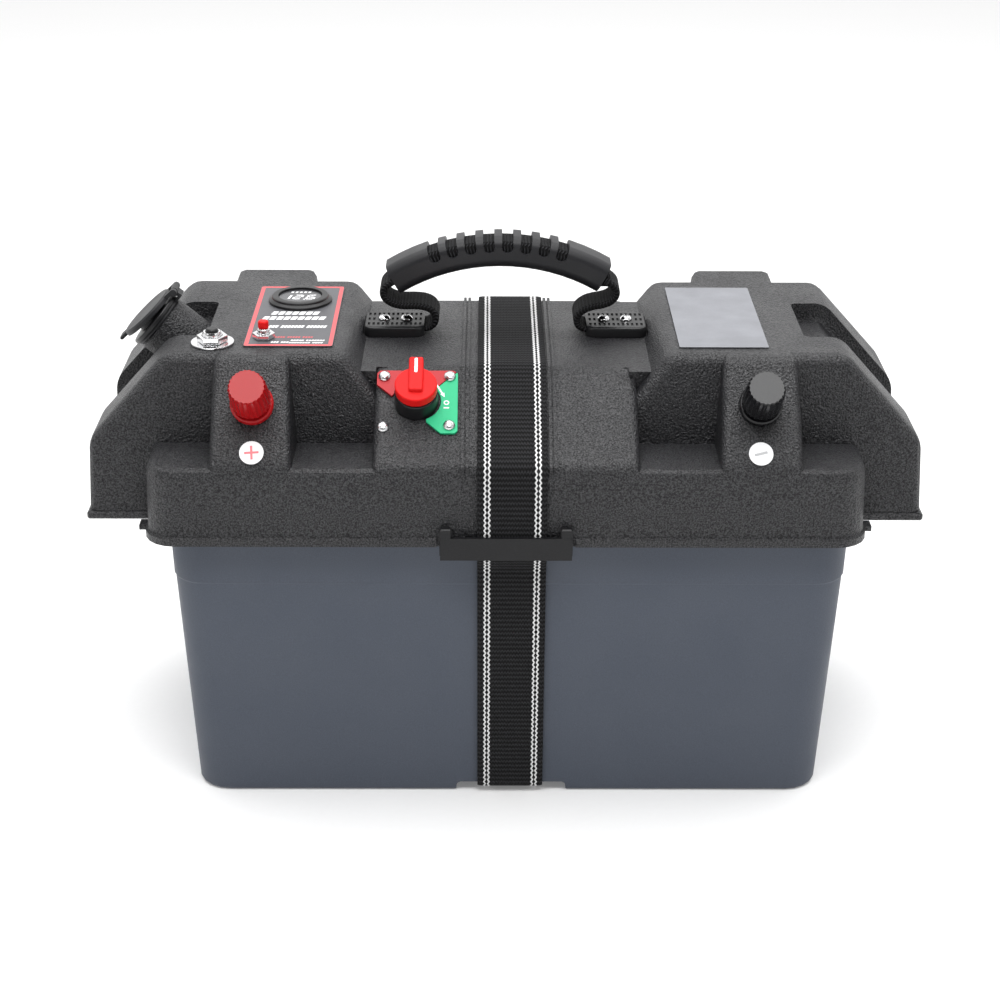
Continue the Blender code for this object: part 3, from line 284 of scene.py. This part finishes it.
# CAD node: look, and the width in millimetres by which its edges are rounded
FINISHES = {
    "tub": ("tub", 0.8),
    "lid_shell": ("lid", 1.6),
    "strap_guide_front": ("guide", 0.4),
    "strap_guide_rear": ("guide", 0.4),
    "buckle_female": ("black", 0.3),
    "buckle_male": ("black", 0.3),
    "handle_anchor_left": ("black", 0.25),
    "handle_anchor_right": ("black", 0.25),
    "handle_grip": ("rubber", 0.6),
    "isolator_plate_red": ("plate_red", 0.25),
    "isolator_plate_green": ("plate_green", 0.25),
    "isolator_base": ("black", 0.3),
    "isolator_body": ("black", 0.3),
    "isolator_knob": ("red", 0.35),
    "positive_collar": ("red_gloss", 0.3),
    "positive_knob": ("red_gloss", 0.2),
    "negative_collar": ("black_gloss", 0.3),
    "negative_knob": ("black_gloss", 0.2),
    "positive_sticker": ("print_white", 0.08),
    "negative_sticker": ("print_white", 0.08),
    "main_breaker_nut": ("chrome", 0.25),
    "main_breaker_washer": ("chrome", 0.15),
    "main_breaker_body": ("chrome", 0.2),
    "main_breaker_button": ("black", 0.3),
    "aux_breaker_nut": ("chrome", 0.2),
    "aux_breaker_body": ("chrome", 0.2),
    "aux_breaker_button": ("red", 0.3),
    "voltmeter_bezel": ("black", 0.25),
    "voltmeter_display": ("display", 0.1),
    "voltmeter_ring": ("black", 0.3),
    "voltmeter_label": ("film", 0.0),
    "info_label": ("film_pale", 0.0),
    "socket_body": ("black", 0.3),
    "socket_contact": ("brass", 0.15),
    "socket_nut": ("black", 0.3),
    "cap_tether": ("rubber", 0.2),
    "dust_cap": ("rubber", 0.3),
    "lead_terminal": ("cable", 0.0),
    "lead_breaker": ("cable", 0.0),
}
for word in ("positive", "negative"):
    FINISHES[f"{word}_stud"] = ("brass", 0.15)
    FINISHES[f"{word}_washer"] = ("chrome", 0.15)
    FINISHES[f"{word}_nut"] = ("steel", 0.2)
for number in range(1, 5):
    FINISHES[f"isolator_screw_{number}"] = ("steel", 0.15)
for side_word in ("left", "right"):
    for number in (1, 2):
        FINISHES[f"anchor_screw_{side_word}_{number}"] = ("chrome", 0.15)


def finish_node(obj, look, rounding):
    """Smooth, round-edged shading for a CAD node, whose own vertices stay as they are."""
    obj.data.shade_smooth()
    weld = obj.modifiers.new("weld", "WELD")
    weld.merge_threshold = WELD_REACH
    flat = obj.modifiers.new("flat_faces", "DECIMATE")
    flat.decimate_type = "DISSOLVE"
    flat.angle_limit = FLAT_ANGLE
    if rounding:
        bevel = obj.modifiers.new("rounded_edges", "BEVEL")
        bevel.width = rounding * MM
        bevel.segments = 2
        bevel.limit_method = "ANGLE"
        bevel.angle_limit = SHARP_ANGLE
    normals = obj.modifiers.new("normals", "WEIGHTED_NORMAL")
    normals.keep_sharp = False
    obj.data.materials.clear()
    obj.data.materials.append(LOOKS[look])


for node, (look_name, edge) in FINISHES.items():
    finish_node(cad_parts[node], look_name, edge)


# Building new pieces


def add_piece(name, bm, look, body, smooth=True):
    bmesh.ops.recalc_face_normals(bm, faces=bm.faces)
    mesh = bpy.data.meshes.new(name)
    bm.to_mesh(mesh)
    bm.free()
    if smooth:
        mesh.shade_smooth()
    mesh.materials.append(LOOKS[look])
    piece = bpy.data.objects.new(name, mesh)
    bpy.context.scene.collection.objects.link(piece)
    if body:
        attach(piece, body)
    return piece


def even_path(points, step):
    """The same polyline, with a point about every step along it."""
    made = []
    for first, second in zip(points, points[1:]):
        count = max(1, round((second - first).length / step))
        for index in range(count):
            made.append(first.lerp(second, index / count))
    made.append(points[-1].copy())
    return made


def eased_path(points, step, reach):
    """An even path whose corners are rounded over about reach on each side."""
    path = even_path(points, step)
    span = max(1, round(reach / step))
    eased = []
    for index in range(len(path)):
        near = min(span, index, len(path) - 1 - index)
        around = path[index - near : index + near + 1]
        eased.append(sum(around, Vector()) / len(around))
    return eased


def directions(path, across):
    """At each point of a path, its way forward and the way out of the band's face."""
    pairs = []
    for index in range(len(path)):
        before = path[max(index - 1, 0)]
        after = path[min(index + 1, len(path) - 1)]
        along = (after - before).normalized()
        pairs.append((along, across.cross(along).normalized()))
    return pairs


def travelled(path):
    """The distance along a path at each of its points."""
    lengths = [0.0]
    for first, second in zip(path, path[1:]):
        lengths.append(lengths[-1] + (second - first).length)
    return lengths


def sweep(bm, path, section, across):
    """Skin a closed section along a path; section(index) gives (across, out) offsets."""
    uv = bm.loops.layers.uv.get("UVMap") or bm.loops.layers.uv.new("UVMap")
    rings = []
    lengths = travelled(path)
    for index, (along, out) in enumerate(directions(path, across)):
        offsets = section(index)
        ring = [bm.verts.new(path[index] + across * a + out * b) for a, b in offsets]
        rings.append((ring, offsets))
    count = len(rings[0][0])
    for index in range(len(rings) - 1):
        (ring, offsets), (following, _) = rings[index], rings[index + 1]
        for i in range(count):
            j = (i + 1) % count
            face = bm.faces.new((ring[i], ring[j], following[j], following[i]))
            places = ((i, index), (j, index), (j, index + 1), (i, index + 1))
            for loop, (point, row) in zip(face.loops, places):
                loop[uv].uv = (offsets[point][0] / MM, lengths[row] / MM)
    bm.faces.new(rings[0][0])
    bm.faces.new(rings[-1][0])


def band_section(half_wide, half_thick, edge, count=14):
    """A flat band's outline, thinner towards both selvedges."""
    outline = []
    for sign in (1, -1):
        for index in range(count):
            share = 2.0 * index / (count - 1) - 1.0
            a = -share * sign * (half_wide - edge * 0.5)
            near = max(0.0, (abs(share) - 0.86) / 0.14)
            b = sign * half_thick * (1.0 - 0.35 * near**2)
            outline.append((a, b))
        outline.append((-sign * half_wide, sign * half_thick * 0.28))
        outline.append((-sign * half_wide, -sign * half_thick * 0.28))
    return outline


# Strap


STRAP_LOW, STRAP_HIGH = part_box("strap_upper")
STRAP_MID_X = (STRAP_LOW.x + STRAP_HIGH.x) / 2
STRAP_HALF = (STRAP_HIGH.x - STRAP_LOW.x) / 2
STRAP_HALF_THICK = 0.85 * MM
THREAD_PAIRS = (-13.7, 13.9)
THREAD_GAP = 2.2
THREAD_WAVE = 3.1
THREAD_SWING = 0.42
THREAD_LIFT = 0.04
SELVEDGE = 0.8
STRAP_STEP = 0.6
STRAP_EASE = 2.4

# Points in (y, z), in millimetres: over the lid from front to back, under the tub back to front
UPPER_ROUTE = [
    (-115.3, 168.4),
    (-115.3, 190.0),
    (-114.2, 206.0),
    (-113.7, 212.6),
    (-111.9, 215.3),
    (-80.0, 234.6),
    (-55.0, 249.6),
    (-51.5, 250.4),
    (63.0, 250.4),
    (66.0, 249.6),
    (88.0, 233.0),
    (111.9, 215.6),
    (113.9, 212.6),
    (114.4, 206.0),
    (115.3, 190.0),
    (115.3, 158.0),
    (112.4, 150.0),
    (111.8, 141.0),
]
LOWER_ROUTE = [
    (111.0, 110.5),
    (110.2, 102.5),
    (103.3, 96.0),
    (99.0, 14.0),
    (99.0, 9.0),
    (98.2, 5.2),
    (95.2, 3.3),
    (90.0, 2.95),
    (-90.0, 2.95),
    (-95.2, 3.3),
    (-98.2, 5.2),
    (-99.0, 9.0),
    (-99.0, 14.0),
    (-105.7, 140.0),
    (-106.6, 151.0),
    (-109.0, 155.0),
    (-114.8, 163.0),
    (-115.2, 167.9),
]


def strap_path(route):
    points = [Vector((STRAP_MID_X, y * MM, z * MM)) for y, z in route]
    return eased_path(points, STRAP_STEP * MM, STRAP_EASE * MM)


def make_strap(name, route, node, body):
    outline = band_section(STRAP_HALF, STRAP_HALF_THICK, SELVEDGE * MM, 22)
    bm = bmesh.new()
    sweep(bm, strap_path(route), lambda index: outline, X_AXIS)
    strap = add_piece(name, bm, "webbing", body)
    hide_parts(node)


def thread_section(wide, high, sides=6):
    turns = [math.tau * index / sides for index in range(sides)]
    return [(wide * math.cos(turn), high * math.sin(turn)) for turn in turns]


def make_threads(name, route, body):
    """Four contrast threads that snake along the strap's outer face, two by two."""
    path = strap_path(route)
    lengths = travelled(path)
    ways = directions(path, X_AXIS)
    outline = thread_section(0.52 * MM, 0.28 * MM)
    bm = bmesh.new()
    for pair in THREAD_PAIRS:
        for sign in (-1, 1):
            snake = []
            for point, length, (_, out) in zip(path, lengths, ways):
                swing = THREAD_SWING * math.sin(math.tau * length / (THREAD_WAVE * MM))
                side = (pair + sign * (THREAD_GAP / 2 + swing)) * MM
                snake.append(point + X_AXIS * side + out * (STRAP_HALF_THICK + THREAD_LIFT * MM))
            sweep(bm, snake, lambda index: outline, X_AXIS)
    add_piece(name, bm, "thread", body)


make_strap("strap_upper_webbing", UPPER_ROUTE, "strap_upper", "lid")
make_threads("strap_upper_threads", UPPER_ROUTE, "lid")
make_strap("strap_lower_webbing", LOWER_ROUTE, "strap_lower", "tub")
make_threads("strap_lower_threads", LOWER_ROUTE, "tub")


# Handle webbing


HANDLE_LOW, HANDLE_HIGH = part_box("handle_webbing")
HANDLE_Y = (HANDLE_LOW.y + HANDLE_HIGH.y) / 2
# Points in (x, z), in millimetres, from the left anchor to the grip and from it to the right one
WEBBING_LEFT = [
    (-53.0, 251.9),
    (-46.8, 251.9),
    (-42.4, 253.4),
    (-39.8, 257.6),
    (-40.6, 262.6),
    (-45.2, 265.8),
    (-52.0, 266.6),
    (-60.5, 266.4),
    (-67.4, 268.6),
    (-70.9, 273.0),
    (-70.4, 277.3),
    (-67.2, 279.6),
]
WEBBING_RIGHT = [
    (58.9, 281.0),
    (62.8, 278.7),
    (64.6, 274.4),
    (62.2, 270.0),
    (57.0, 267.4),
    (50.0, 266.4),
    (44.6, 264.2),
    (41.2, 260.4),
    (40.9, 256.0),
    (43.2, 253.0),
    (46.8, 251.9),
    (53.0, 251.9),
]
GRIP_CENTRE = (-4.2, 298.6)
GRIP_RADIUS = 118.0
GRIP_HALF_ANGLE = 29.6
GRIP_TILT = math.radians(0.7)
HANDLE_STEP = 1.0
HANDLE_EASE = 3.0


def grip_arc(count):
    """Points in (x, z) along the grip's centre line."""
    points = []
    for index in range(count):
        turn = math.radians(GRIP_HALF_ANGLE * (2.0 * index / (count - 1) - 1.0))
        x = GRIP_RADIUS * math.sin(turn)
        z = GRIP_RADIUS * (math.cos(turn) - 1.0)
        points.append(
            (
                GRIP_CENTRE[0] + x * math.cos(GRIP_TILT) - z * math.sin(GRIP_TILT),
                GRIP_CENTRE[1] + x * math.sin(GRIP_TILT) + z * math.cos(GRIP_TILT),
            )
        )
    return points


def make_handle_webbing():
    """One webbing from anchor to anchor, flat in the loops and gathered inside the grip."""
    route = WEBBING_LEFT + grip_arc(15) + WEBBING_RIGHT
    points = [Vector((x * MM, HANDLE_Y, z * MM)) for x, z in route]
    path = eased_path(points, HANDLE_STEP * MM, HANDLE_EASE * MM)
    lengths = travelled(path)
    enter = travelled(points)[len(WEBBING_LEFT)]
    leave = travelled(points)[-len(WEBBING_RIGHT) - 1]

    def section(index):
        length = lengths[index]
        inside = min(length - enter, leave - length)
        share = min(max(inside / (7.0 * MM) + 0.75, 0.0), 1.0)
        share = share * share * (3.0 - 2.0 * share)
        ends = min(length, lengths[-1] - length) / (11.0 * MM)
        flare = min(max(ends - 0.6, 0.0), 1.0)
        loop_wide = 10.6 + 1.4 * flare
        half_wide = (loop_wide * (1.0 - share) + 9.4 * share) * MM
        half_thick = ((1.5 + 0.5 * flare) * (1.0 - share) + 6.2 * share) * MM
        return band_section(half_wide, half_thick, SELVEDGE * MM, 18)

    bm = bmesh.new()
    sweep(bm, path, section, -Y_AXIS)
    webbing = add_piece("handle_webbing_woven", bm, "handle_webbing", None)
    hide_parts("handle_webbing")
    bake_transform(webbing)


make_handle_webbing()


# Printed marks


def prisms(name, outlines, low, high, matrix, look, body):
    """Thin printed shapes: flat outlines in a local frame, in millimetres."""
    bm = bmesh.new()
    for outline in outlines:
        bottom = [bm.verts.new(matrix @ Vector((x * MM, y * MM, low * MM))) for x, y in outline]
        top = [bm.verts.new(matrix @ Vector((x * MM, y * MM, high * MM))) for x, y in outline]
        bm.faces.new(bottom)
        bm.faces.new(top)
        for i in range(len(outline)):
            j = (i + 1) % len(outline)
            bm.faces.new((bottom[i], bottom[j], top[j], top[i]))
    add_piece(name, bm, look, body, smooth=False)


def bar(x, y, wide, high, slant=0.0):
    """A rectangle about a centre, leaning by slant times its height."""
    lean = slant * high / 2
    return [
        (x - wide / 2 - lean, y - high / 2),
        (x + wide / 2 - lean, y - high / 2),
        (x + wide / 2 + lean, y + high / 2),
        (x - wide / 2 + lean, y + high / 2),
    ]


def tilted_frame(centre, normal):
    """A frame at centre whose z is the normal and whose x stays as near the box's x as it can."""
    z = Vector(normal).normalized()
    x = (X_AXIS - z * X_AXIS.dot(z)).normalized()
    matrix = Matrix((x, z.cross(x), z)).transposed().to_4x4()
    matrix.translation = Vector(centre)
    return matrix


def centre_of(node):
    low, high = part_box(node)
    return (low + high) / 2


LABEL_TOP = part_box("voltmeter_label")[1].z
LABEL_PRINT = 0.05
PRINT_BASE = 0.01
GLASS_PRINT = 0.08
BORDER_WIDE = 2.3


def label_matrix():
    centre = centre_of("voltmeter_label")
    return Matrix.Translation(Vector((centre.x, centre.y, LABEL_TOP)))


def rounded_rect(half_x, half_y, radius, steps=4):
    points = []
    for corner, (sx, sy) in enumerate(((1, 1), (-1, 1), (-1, -1), (1, -1))):
        for step in range(steps + 1):
            turn = math.radians(90.0 * (corner + step / steps))
            x = sx * (half_x - radius) + radius * math.cos(turn)
            y = sy * (half_y - radius) + radius * math.sin(turn)
            points.append((x, y))
    return points


def ring_print(name, outer, inner, matrix, look, body):
    """A thin printed frame between two outlines that have as many points."""
    bm = bmesh.new()
    loops = []
    for outline in (outer, inner):
        for z in (PRINT_BASE, LABEL_PRINT):
            loops.append([bm.verts.new(matrix @ Vector((x * MM, y * MM, z * MM))) for x, y in outline])
    for first, second in ((0, 1), (1, 3), (3, 2), (2, 0)):
        for i in range(len(outer)):
            j = (i + 1) % len(outer)
            bm.faces.new((loops[first][i], loops[first][j], loops[second][j], loops[second][i]))
    add_piece(name, bm, look, body, smooth=False)


def bar_row(start, y, pitch, wide, high, groups):
    """Plain bars that stand in for a line of lettering: groups of bars with a space between."""
    shapes = []
    x = start + wide / 2
    for count in groups:
        for _ in range(count):
            shapes.append(bar(x, y, wide, high, 0.25))
            x += pitch
        x += pitch * 0.7
    return shapes


def make_label_print():
    low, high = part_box("voltmeter_label")
    half_x = (high.x - low.x) / 2 / MM - 0.3
    half_y = (high.y - low.y) / 2 / MM - 0.3
    matrix = label_matrix()
    ring_print(
        "label_border",
        rounded_rect(half_x, half_y, 1.4),
        rounded_rect(half_x - BORDER_WIDE, half_y - BORDER_WIDE, 0.6),
        matrix,
        "print_pink",
        "lid",
    )
    words = bar_row(-13.8, 3.3, 3.96, 3.1, 5.4, (7,))
    words += bar_row(-18.2, -5.4, 4.04, 3.2, 5.4, (9,))
    words += bar_row(-13.6, -19.8, 1.9, 1.45, 3.9, (3, 7, 6))
    words += bar_row(-9.8, -45.4, 1.5, 1.1, 2.2, (3, 3))
    words += bar_row(1.0, -42.4, 1.5, 1.1, 1.9, (5, 7))
    words += bar_row(0.2, -46.2, 1.5, 1.1, 1.9, (8, 4))
    prisms("label_bars", words, PRINT_BASE, LABEL_PRINT, matrix, "print_white", "lid")
    line = bar_row(-8.5, -37.2, 1.5, 1.1, 1.9, (4, 5, 4))
    prisms("label_line", line, PRINT_BASE, LABEL_PRINT, matrix, "print_pink", "lid")


# Segment: place across and up in half sizes, and whether it lies flat
SEGMENTS = {
    "a": (0.0, 1.0, True),
    "b": (1.0, 0.5, False),
    "c": (1.0, -0.5, False),
    "d": (0.0, -1.0, True),
    "e": (-1.0, -0.5, False),
    "f": (-1.0, 0.5, False),
    "g": (0.0, 0.0, True),
}
DIGITS = {"1": "bc", "2": "abged", "6": "acdefg"}


def digit(character, x, y, half_wide, half_high, thick, slant):
    """The lit bars of one seven-segment figure."""
    shapes = []
    for segment in DIGITS[character]:
        across, up, flat = SEGMENTS[segment]
        centre_y = up * half_high
        centre_x = across * half_wide + slant * centre_y
        if flat:
            shape = bar(x + centre_x, y + centre_y, 2 * half_wide - thick * 0.4, thick, slant)
        else:
            shape = bar(x + centre_x, y + centre_y, thick, half_high - thick * 0.2, slant)
        shapes.append(shape)
    return shapes


def make_display_print():
    """A three-figure reading, as any panel voltmeter shows."""
    low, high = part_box("voltmeter_display")
    centre = (low + high) / 2
    matrix = Matrix.Translation(Vector((centre.x, centre.y, high.z)))
    shapes = []
    for character, x in (("1", -8.0), ("2", -1.2), ("6", 6.4)):
        shapes += digit(character, x, -1.6, 2.1, 3.4, 1.3, 0.22)
    shapes.append(bar(2.6, -5.4, 1.2, 1.2))
    prisms("display_figures", shapes, PRINT_BASE, GLASS_PRINT, matrix, "print_white", "lid")
    marks = [bar(x, 7.2, 1.5, 2.0, 0.2) for x in (-5.0, -2.5, 0.0, 2.5, 5.0)]
    prisms("display_marks", marks, PRINT_BASE, GLASS_PRINT, matrix, "print_white", "lid")


TERMINAL_NORMAL = (0.0, -0.745, 0.667)
SWITCH_NORMAL = (0.0, -0.5156, 0.8569)
SWITCH_AT = (-49.2, -74.12, 236.29)
POINTER_TOP = 19.5
PLATE_TOP = 1.72
MARK_X = 16.4
SIGN_ARM = 3.9
SIGN_THIN = 0.62
CORNER = ((SIGN_ARM, -SIGN_THIN), (SIGN_ARM, SIGN_THIN), (SIGN_THIN, SIGN_THIN))


def make_sticker_print():
    """A plus and a minus on the two round stickers."""
    for word, look, turned in (("positive", "print_red", 4), ("negative", "print_grey", 14)):
        node = f"{word}_sticker"
        centre = centre_of(node) + Vector(TERMINAL_NORMAL) * 0.2 * MM
        matrix = tilted_frame(centre, TERMINAL_NORMAL)
        matrix = matrix @ Matrix.Rotation(math.radians(turned), 4, "Z")
        if word == "positive":
            outline = []
            for turn in range(4):
                for x, y in CORNER:
                    for _ in range(turn):
                        x, y = -y, x
                    outline.append((x, y))
        else:
            outline = bar(0.0, 0.0, SIGN_ARM * 1.8, SIGN_THIN * 2.2)
        prisms(f"{word}_sign", [outline], 0.0, 0.08, matrix, look, "lid")


def switch_matrix():
    """The isolator's frame: on its axis, with the slanted face at local z = 0."""
    return tilted_frame(Vector(SWITCH_AT) * MM, SWITCH_NORMAL)


def arc(radius, start, end, steps):
    turns = [math.radians(start + (end - start) * step / steps) for step in range(steps + 1)]
    return [(radius * math.cos(turn), radius * math.sin(turn)) for turn in turns]


def make_switch_print():
    """An arrow, a ring and a bar on the green plate, and the line on the lever."""
    matrix = switch_matrix()
    top = PLATE_TOP
    tail, tip = Vector((10.9, 11.1)), Vector((15.4, 2.6))
    along = (tip - tail).normalized()
    wide = Vector((-along.y, along.x))
    neck = tip - along * 2.9
    shaft = [tail + wide * 0.45, tail - wide * 0.45, neck - wide * 0.45, neck + wide * 0.45]
    head = [neck - wide * 1.25, tip, neck + wide * 1.25]
    shapes = [[tuple(point) for point in outline] for outline in (shaft, head)]
    shapes.append(bar(MARK_X, -4.7, 3.0, 0.9))
    prisms("switch_marks", shapes, top, top + 0.06, matrix, "print_white", "lid")
    ring = [(x + MARK_X, y - 1.2) for x, y in arc(1.6, 0, 330, 11)]
    hole = [(x + MARK_X, y - 1.2) for x, y in arc(0.9, 0, 330, 11)]
    lift = matrix @ Matrix.Translation((0, 0, top * MM))
    ring_print("switch_off_mark", ring, hole, lift, "print_white", "lid")
    line = rounded_rect(0.85, 5.0, 0.8)
    lift = matrix @ Matrix.Translation((0, 11.0 * MM, POINTER_TOP * MM))
    prisms("pointer_line", [line], 0.0, 0.12, lift, "print_white", "isolator_lever")


make_label_print()
make_display_print()
make_sticker_print()
make_switch_print()


# Floor, light and camera


def make_floor():
    bm = bmesh.new()
    bmesh.ops.create_grid(bm, x_segments=1, y_segments=1, size=FLOOR_HALF)
    mesh = bpy.data.meshes.new("floor")
    bm.to_mesh(mesh)
    bm.free()
    look = Look("floor_paper", (0.8, 0.8, 0.8), 0.7, Emission_Strength=0.16)
    look.shader.inputs["Emission Color"].default_value = (1.0, 1.0, 1.0, 1.0)
    fibre = look.noise(0.004, 2.0, 0.5)
    look.shade(fibre, (0.79, 0.79, 0.79), (0.82, 0.82, 0.82))
    mesh.materials.append(look.material)
    floor = bpy.data.objects.new("floor", mesh)
    bpy.context.scene.collection.objects.link(floor)


def softbox(name, at, target, wide, high, power):
    light = bpy.data.lights.new(name, "AREA")
    light.shape = "RECTANGLE"
    light.size = wide
    light.size_y = high
    light.energy = power
    lamp = bpy.data.objects.new(name, light)
    lamp.location = at
    aim = Vector(target) - Vector(at)
    lamp.rotation_euler = aim.to_track_quat("-Z", "Y").to_euler()
    bpy.context.scene.collection.objects.link(lamp)


def make_world():
    """A white studio, brightest behind the box and dimmer in front of it."""
    world = bpy.data.worlds.new("studio")
    world.use_nodes = True
    tree = world.node_tree
    background = tree.nodes["Background"]
    place = tree.nodes.new("ShaderNodeTexCoord")
    split = tree.nodes.new("ShaderNodeSeparateXYZ")
    ramp = tree.nodes.new("ShaderNodeMapRange")
    tree.links.new(place.outputs["Generated"], split.inputs["Vector"])
    tree.links.new(split.outputs["Y"], ramp.inputs["Value"])
    for name, value in (("From Min", -0.8), ("From Max", 0.5), ("To Min", 0.06), ("To Max", 1.25)):
        ramp.inputs[name].default_value = value
    tree.links.new(ramp.outputs["Result"], background.inputs["Strength"])
    background.inputs["Color"].default_value = (1.0, 1.0, 1.0, 1.0)
    bpy.context.scene.world = world


CAMERA_AT = (-0.0107, -1.0958, 0.6452)
CAMERA_PITCH = 24.59
CAMERA_YAW = -0.425
CAMERA_ROLL = 0.3
FLOOR_HALF = 30.0


def make_camera():
    data = bpy.data.cameras.new("camera")
    data.lens = 72.0
    data.sensor_width = 36.0
    data.clip_end = 50.0
    camera = bpy.data.objects.new("camera", data)
    turn = Matrix.Rotation(math.radians(CAMERA_YAW), 4, "Z")
    turn = turn @ Matrix.Rotation(math.radians(90.0 - CAMERA_PITCH), 4, "X")
    turn = turn @ Matrix.Rotation(math.radians(CAMERA_ROLL), 4, "Z")
    camera.matrix_world = Matrix.Translation(CAMERA_AT) @ turn
    bpy.context.scene.collection.objects.link(camera)
    bpy.context.scene.camera = camera


make_floor()
make_world()
softbox("top_light", (0.0, 0.35, 2.0), (0.0, 0.0, 0.2), 2.4, 1.4, 30.0)
softbox("key_light", (0.0, -0.72, 1.5), (0.0, -0.1, 0.2), 1.1, 0.5, 15.0)
softbox("left_light", (-1.7, -1.3, 1.1), (0.0, 0.0, 0.15), 0.9, 1.2, 3.5)
softbox("right_light", (1.7, -1.3, 1.1), (0.0, 0.0, 0.15), 0.9, 1.2, 3.5)
make_camera()
bpy.context.scene.view_settings.view_transform = "Standard"
